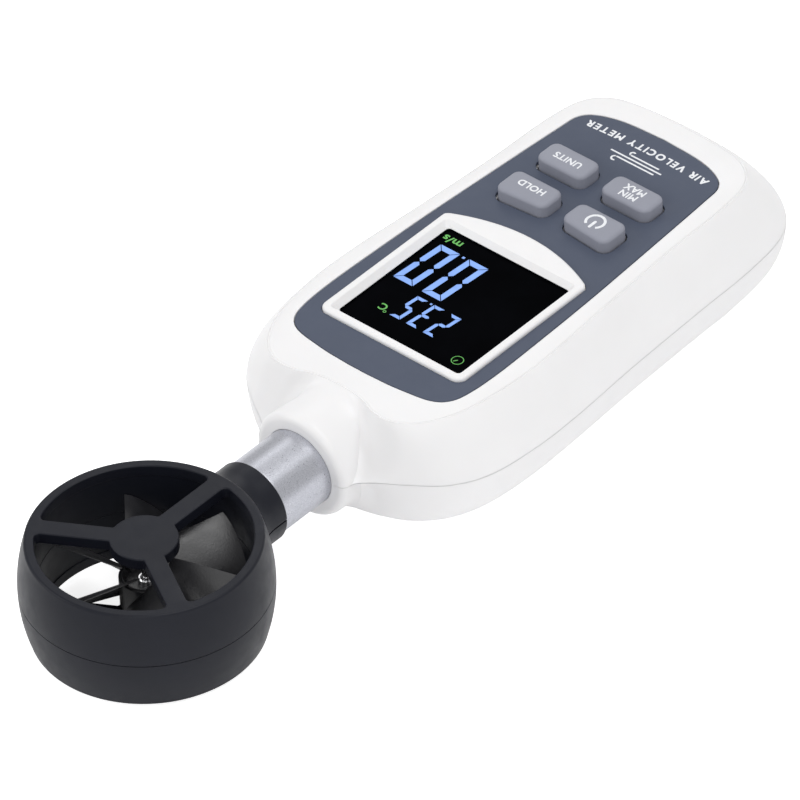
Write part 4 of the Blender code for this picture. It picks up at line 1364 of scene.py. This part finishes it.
def make_floor():
    bm = bmesh.new()
    bmesh.ops.create_grid(bm, x_segments=8, y_segments=8, size=2.0)
    data = bpy.data.meshes.new("floor")
    bm.to_mesh(data)
    bm.free()
    floor = bpy.data.objects.new("floor", data)
    bpy.context.scene.collection.objects.link(floor)
    look = Shader("floor_paper")
    look.vary("Base Color", look.noise(3, 2), (0.86, 0.86, 0.865), (0.88, 0.88, 0.885))
    look.vary("Roughness", look.noise(30, 3), 0.8, 0.9)
    look.set("Specular IOR Level", 0.0)
    look.set("Emission Color", (1.0, 1.0, 1.0))
    seen = look.node("ShaderNodeLightPath").outputs["Is Camera Ray"]
    look.set("Emission Strength", look.remap(seen, FLOOR_GLOW, FLOOR_GLOW_SEEN, 0, 1))
    look.bump(look.noise(600, 3), 0.05, 0.1)
    data.materials.append(look.done())


def area_light(name, place, size, power):
    data = bpy.data.lights.new(name, "AREA")
    data.shape = "RECTANGLE"
    data.size, data.size_y = size
    data.energy = power
    lamp = bpy.data.objects.new(name, data)
    bpy.context.scene.collection.objects.link(lamp)
    lamp.location = place
    aim = LIGHT_TARGET - Vector(place)
    lamp.rotation_euler = aim.to_track_quat("-Z", "Y").to_euler()


def light_scene():
    """Soft studio light: a white sky and four soft boxes."""
    world = bpy.data.worlds.new("studio")
    world.use_nodes = True
    backdrop = world.node_tree.nodes["Background"]
    backdrop.inputs["Color"].default_value = (1.0, 1.0, 1.0, 1)
    backdrop.inputs["Strength"].default_value = SKY_STRENGTH
    bpy.context.scene.world = world
    for light in LIGHTS:
        area_light(*light)
    bpy.context.scene.view_settings.view_transform = "Standard"
    bpy.context.scene.view_settings.look = "None"


def add_camera():
    """A long lens looking down at the meter, its head towards the viewer's lower left."""
    side = Vector((math.cos(CAMERA_AZIMUTH), math.sin(CAMERA_AZIMUTH), 0))
    level = Vector((math.sin(CAMERA_AZIMUTH), -math.cos(CAMERA_AZIMUTH), 0))
    back = level * math.cos(CAMERA_ELEVATION) + Vector((0, 0, math.sin(CAMERA_ELEVATION)))
    up = back.cross(side)
    across = math.cos(CAMERA_ROLL) * side - math.sin(CAMERA_ROLL) * up
    upward = math.sin(CAMERA_ROLL) * side + math.cos(CAMERA_ROLL) * up
    aim = Vector((0, 0, GLASS_Z - 0.2)) - CAMERA_SHIFT[0] * across - CAMERA_SHIFT[1] * upward
    centre = aim + CAMERA_DISTANCE * back
    data = bpy.data.cameras.new("camera")
    data.sensor_width = SENSOR
    data.lens = LENS
    data.clip_start = 0.1
    data.clip_end = 20.0
    camera = bpy.data.objects.new("camera", data)
    bpy.context.scene.collection.objects.link(camera)
    turn = Matrix((across, upward, back)).transposed().to_4x4()
    camera.matrix_world = Matrix.Translation(centre * METRES_PER_MM) @ turn
    bpy.context.scene.camera = camera


def build():
    dress_cad_nodes()
    make_front_case()
    make_rear_case()
    make_battery_door()
    make_face_panel()
    make_display_bezel()
    make_display()
    for node, body, row, side in KEYS:
        make_key(node, body, row, side)
    make_marks()
    make_sleeve()
    make_head_shell("vane_head_front", "head_front_shell", 1)
    make_head_shell("vane_head_rear", "head_rear_shell", -1)
    make_impeller()
    make_floor()
    light_scene()
    add_camera()


build()
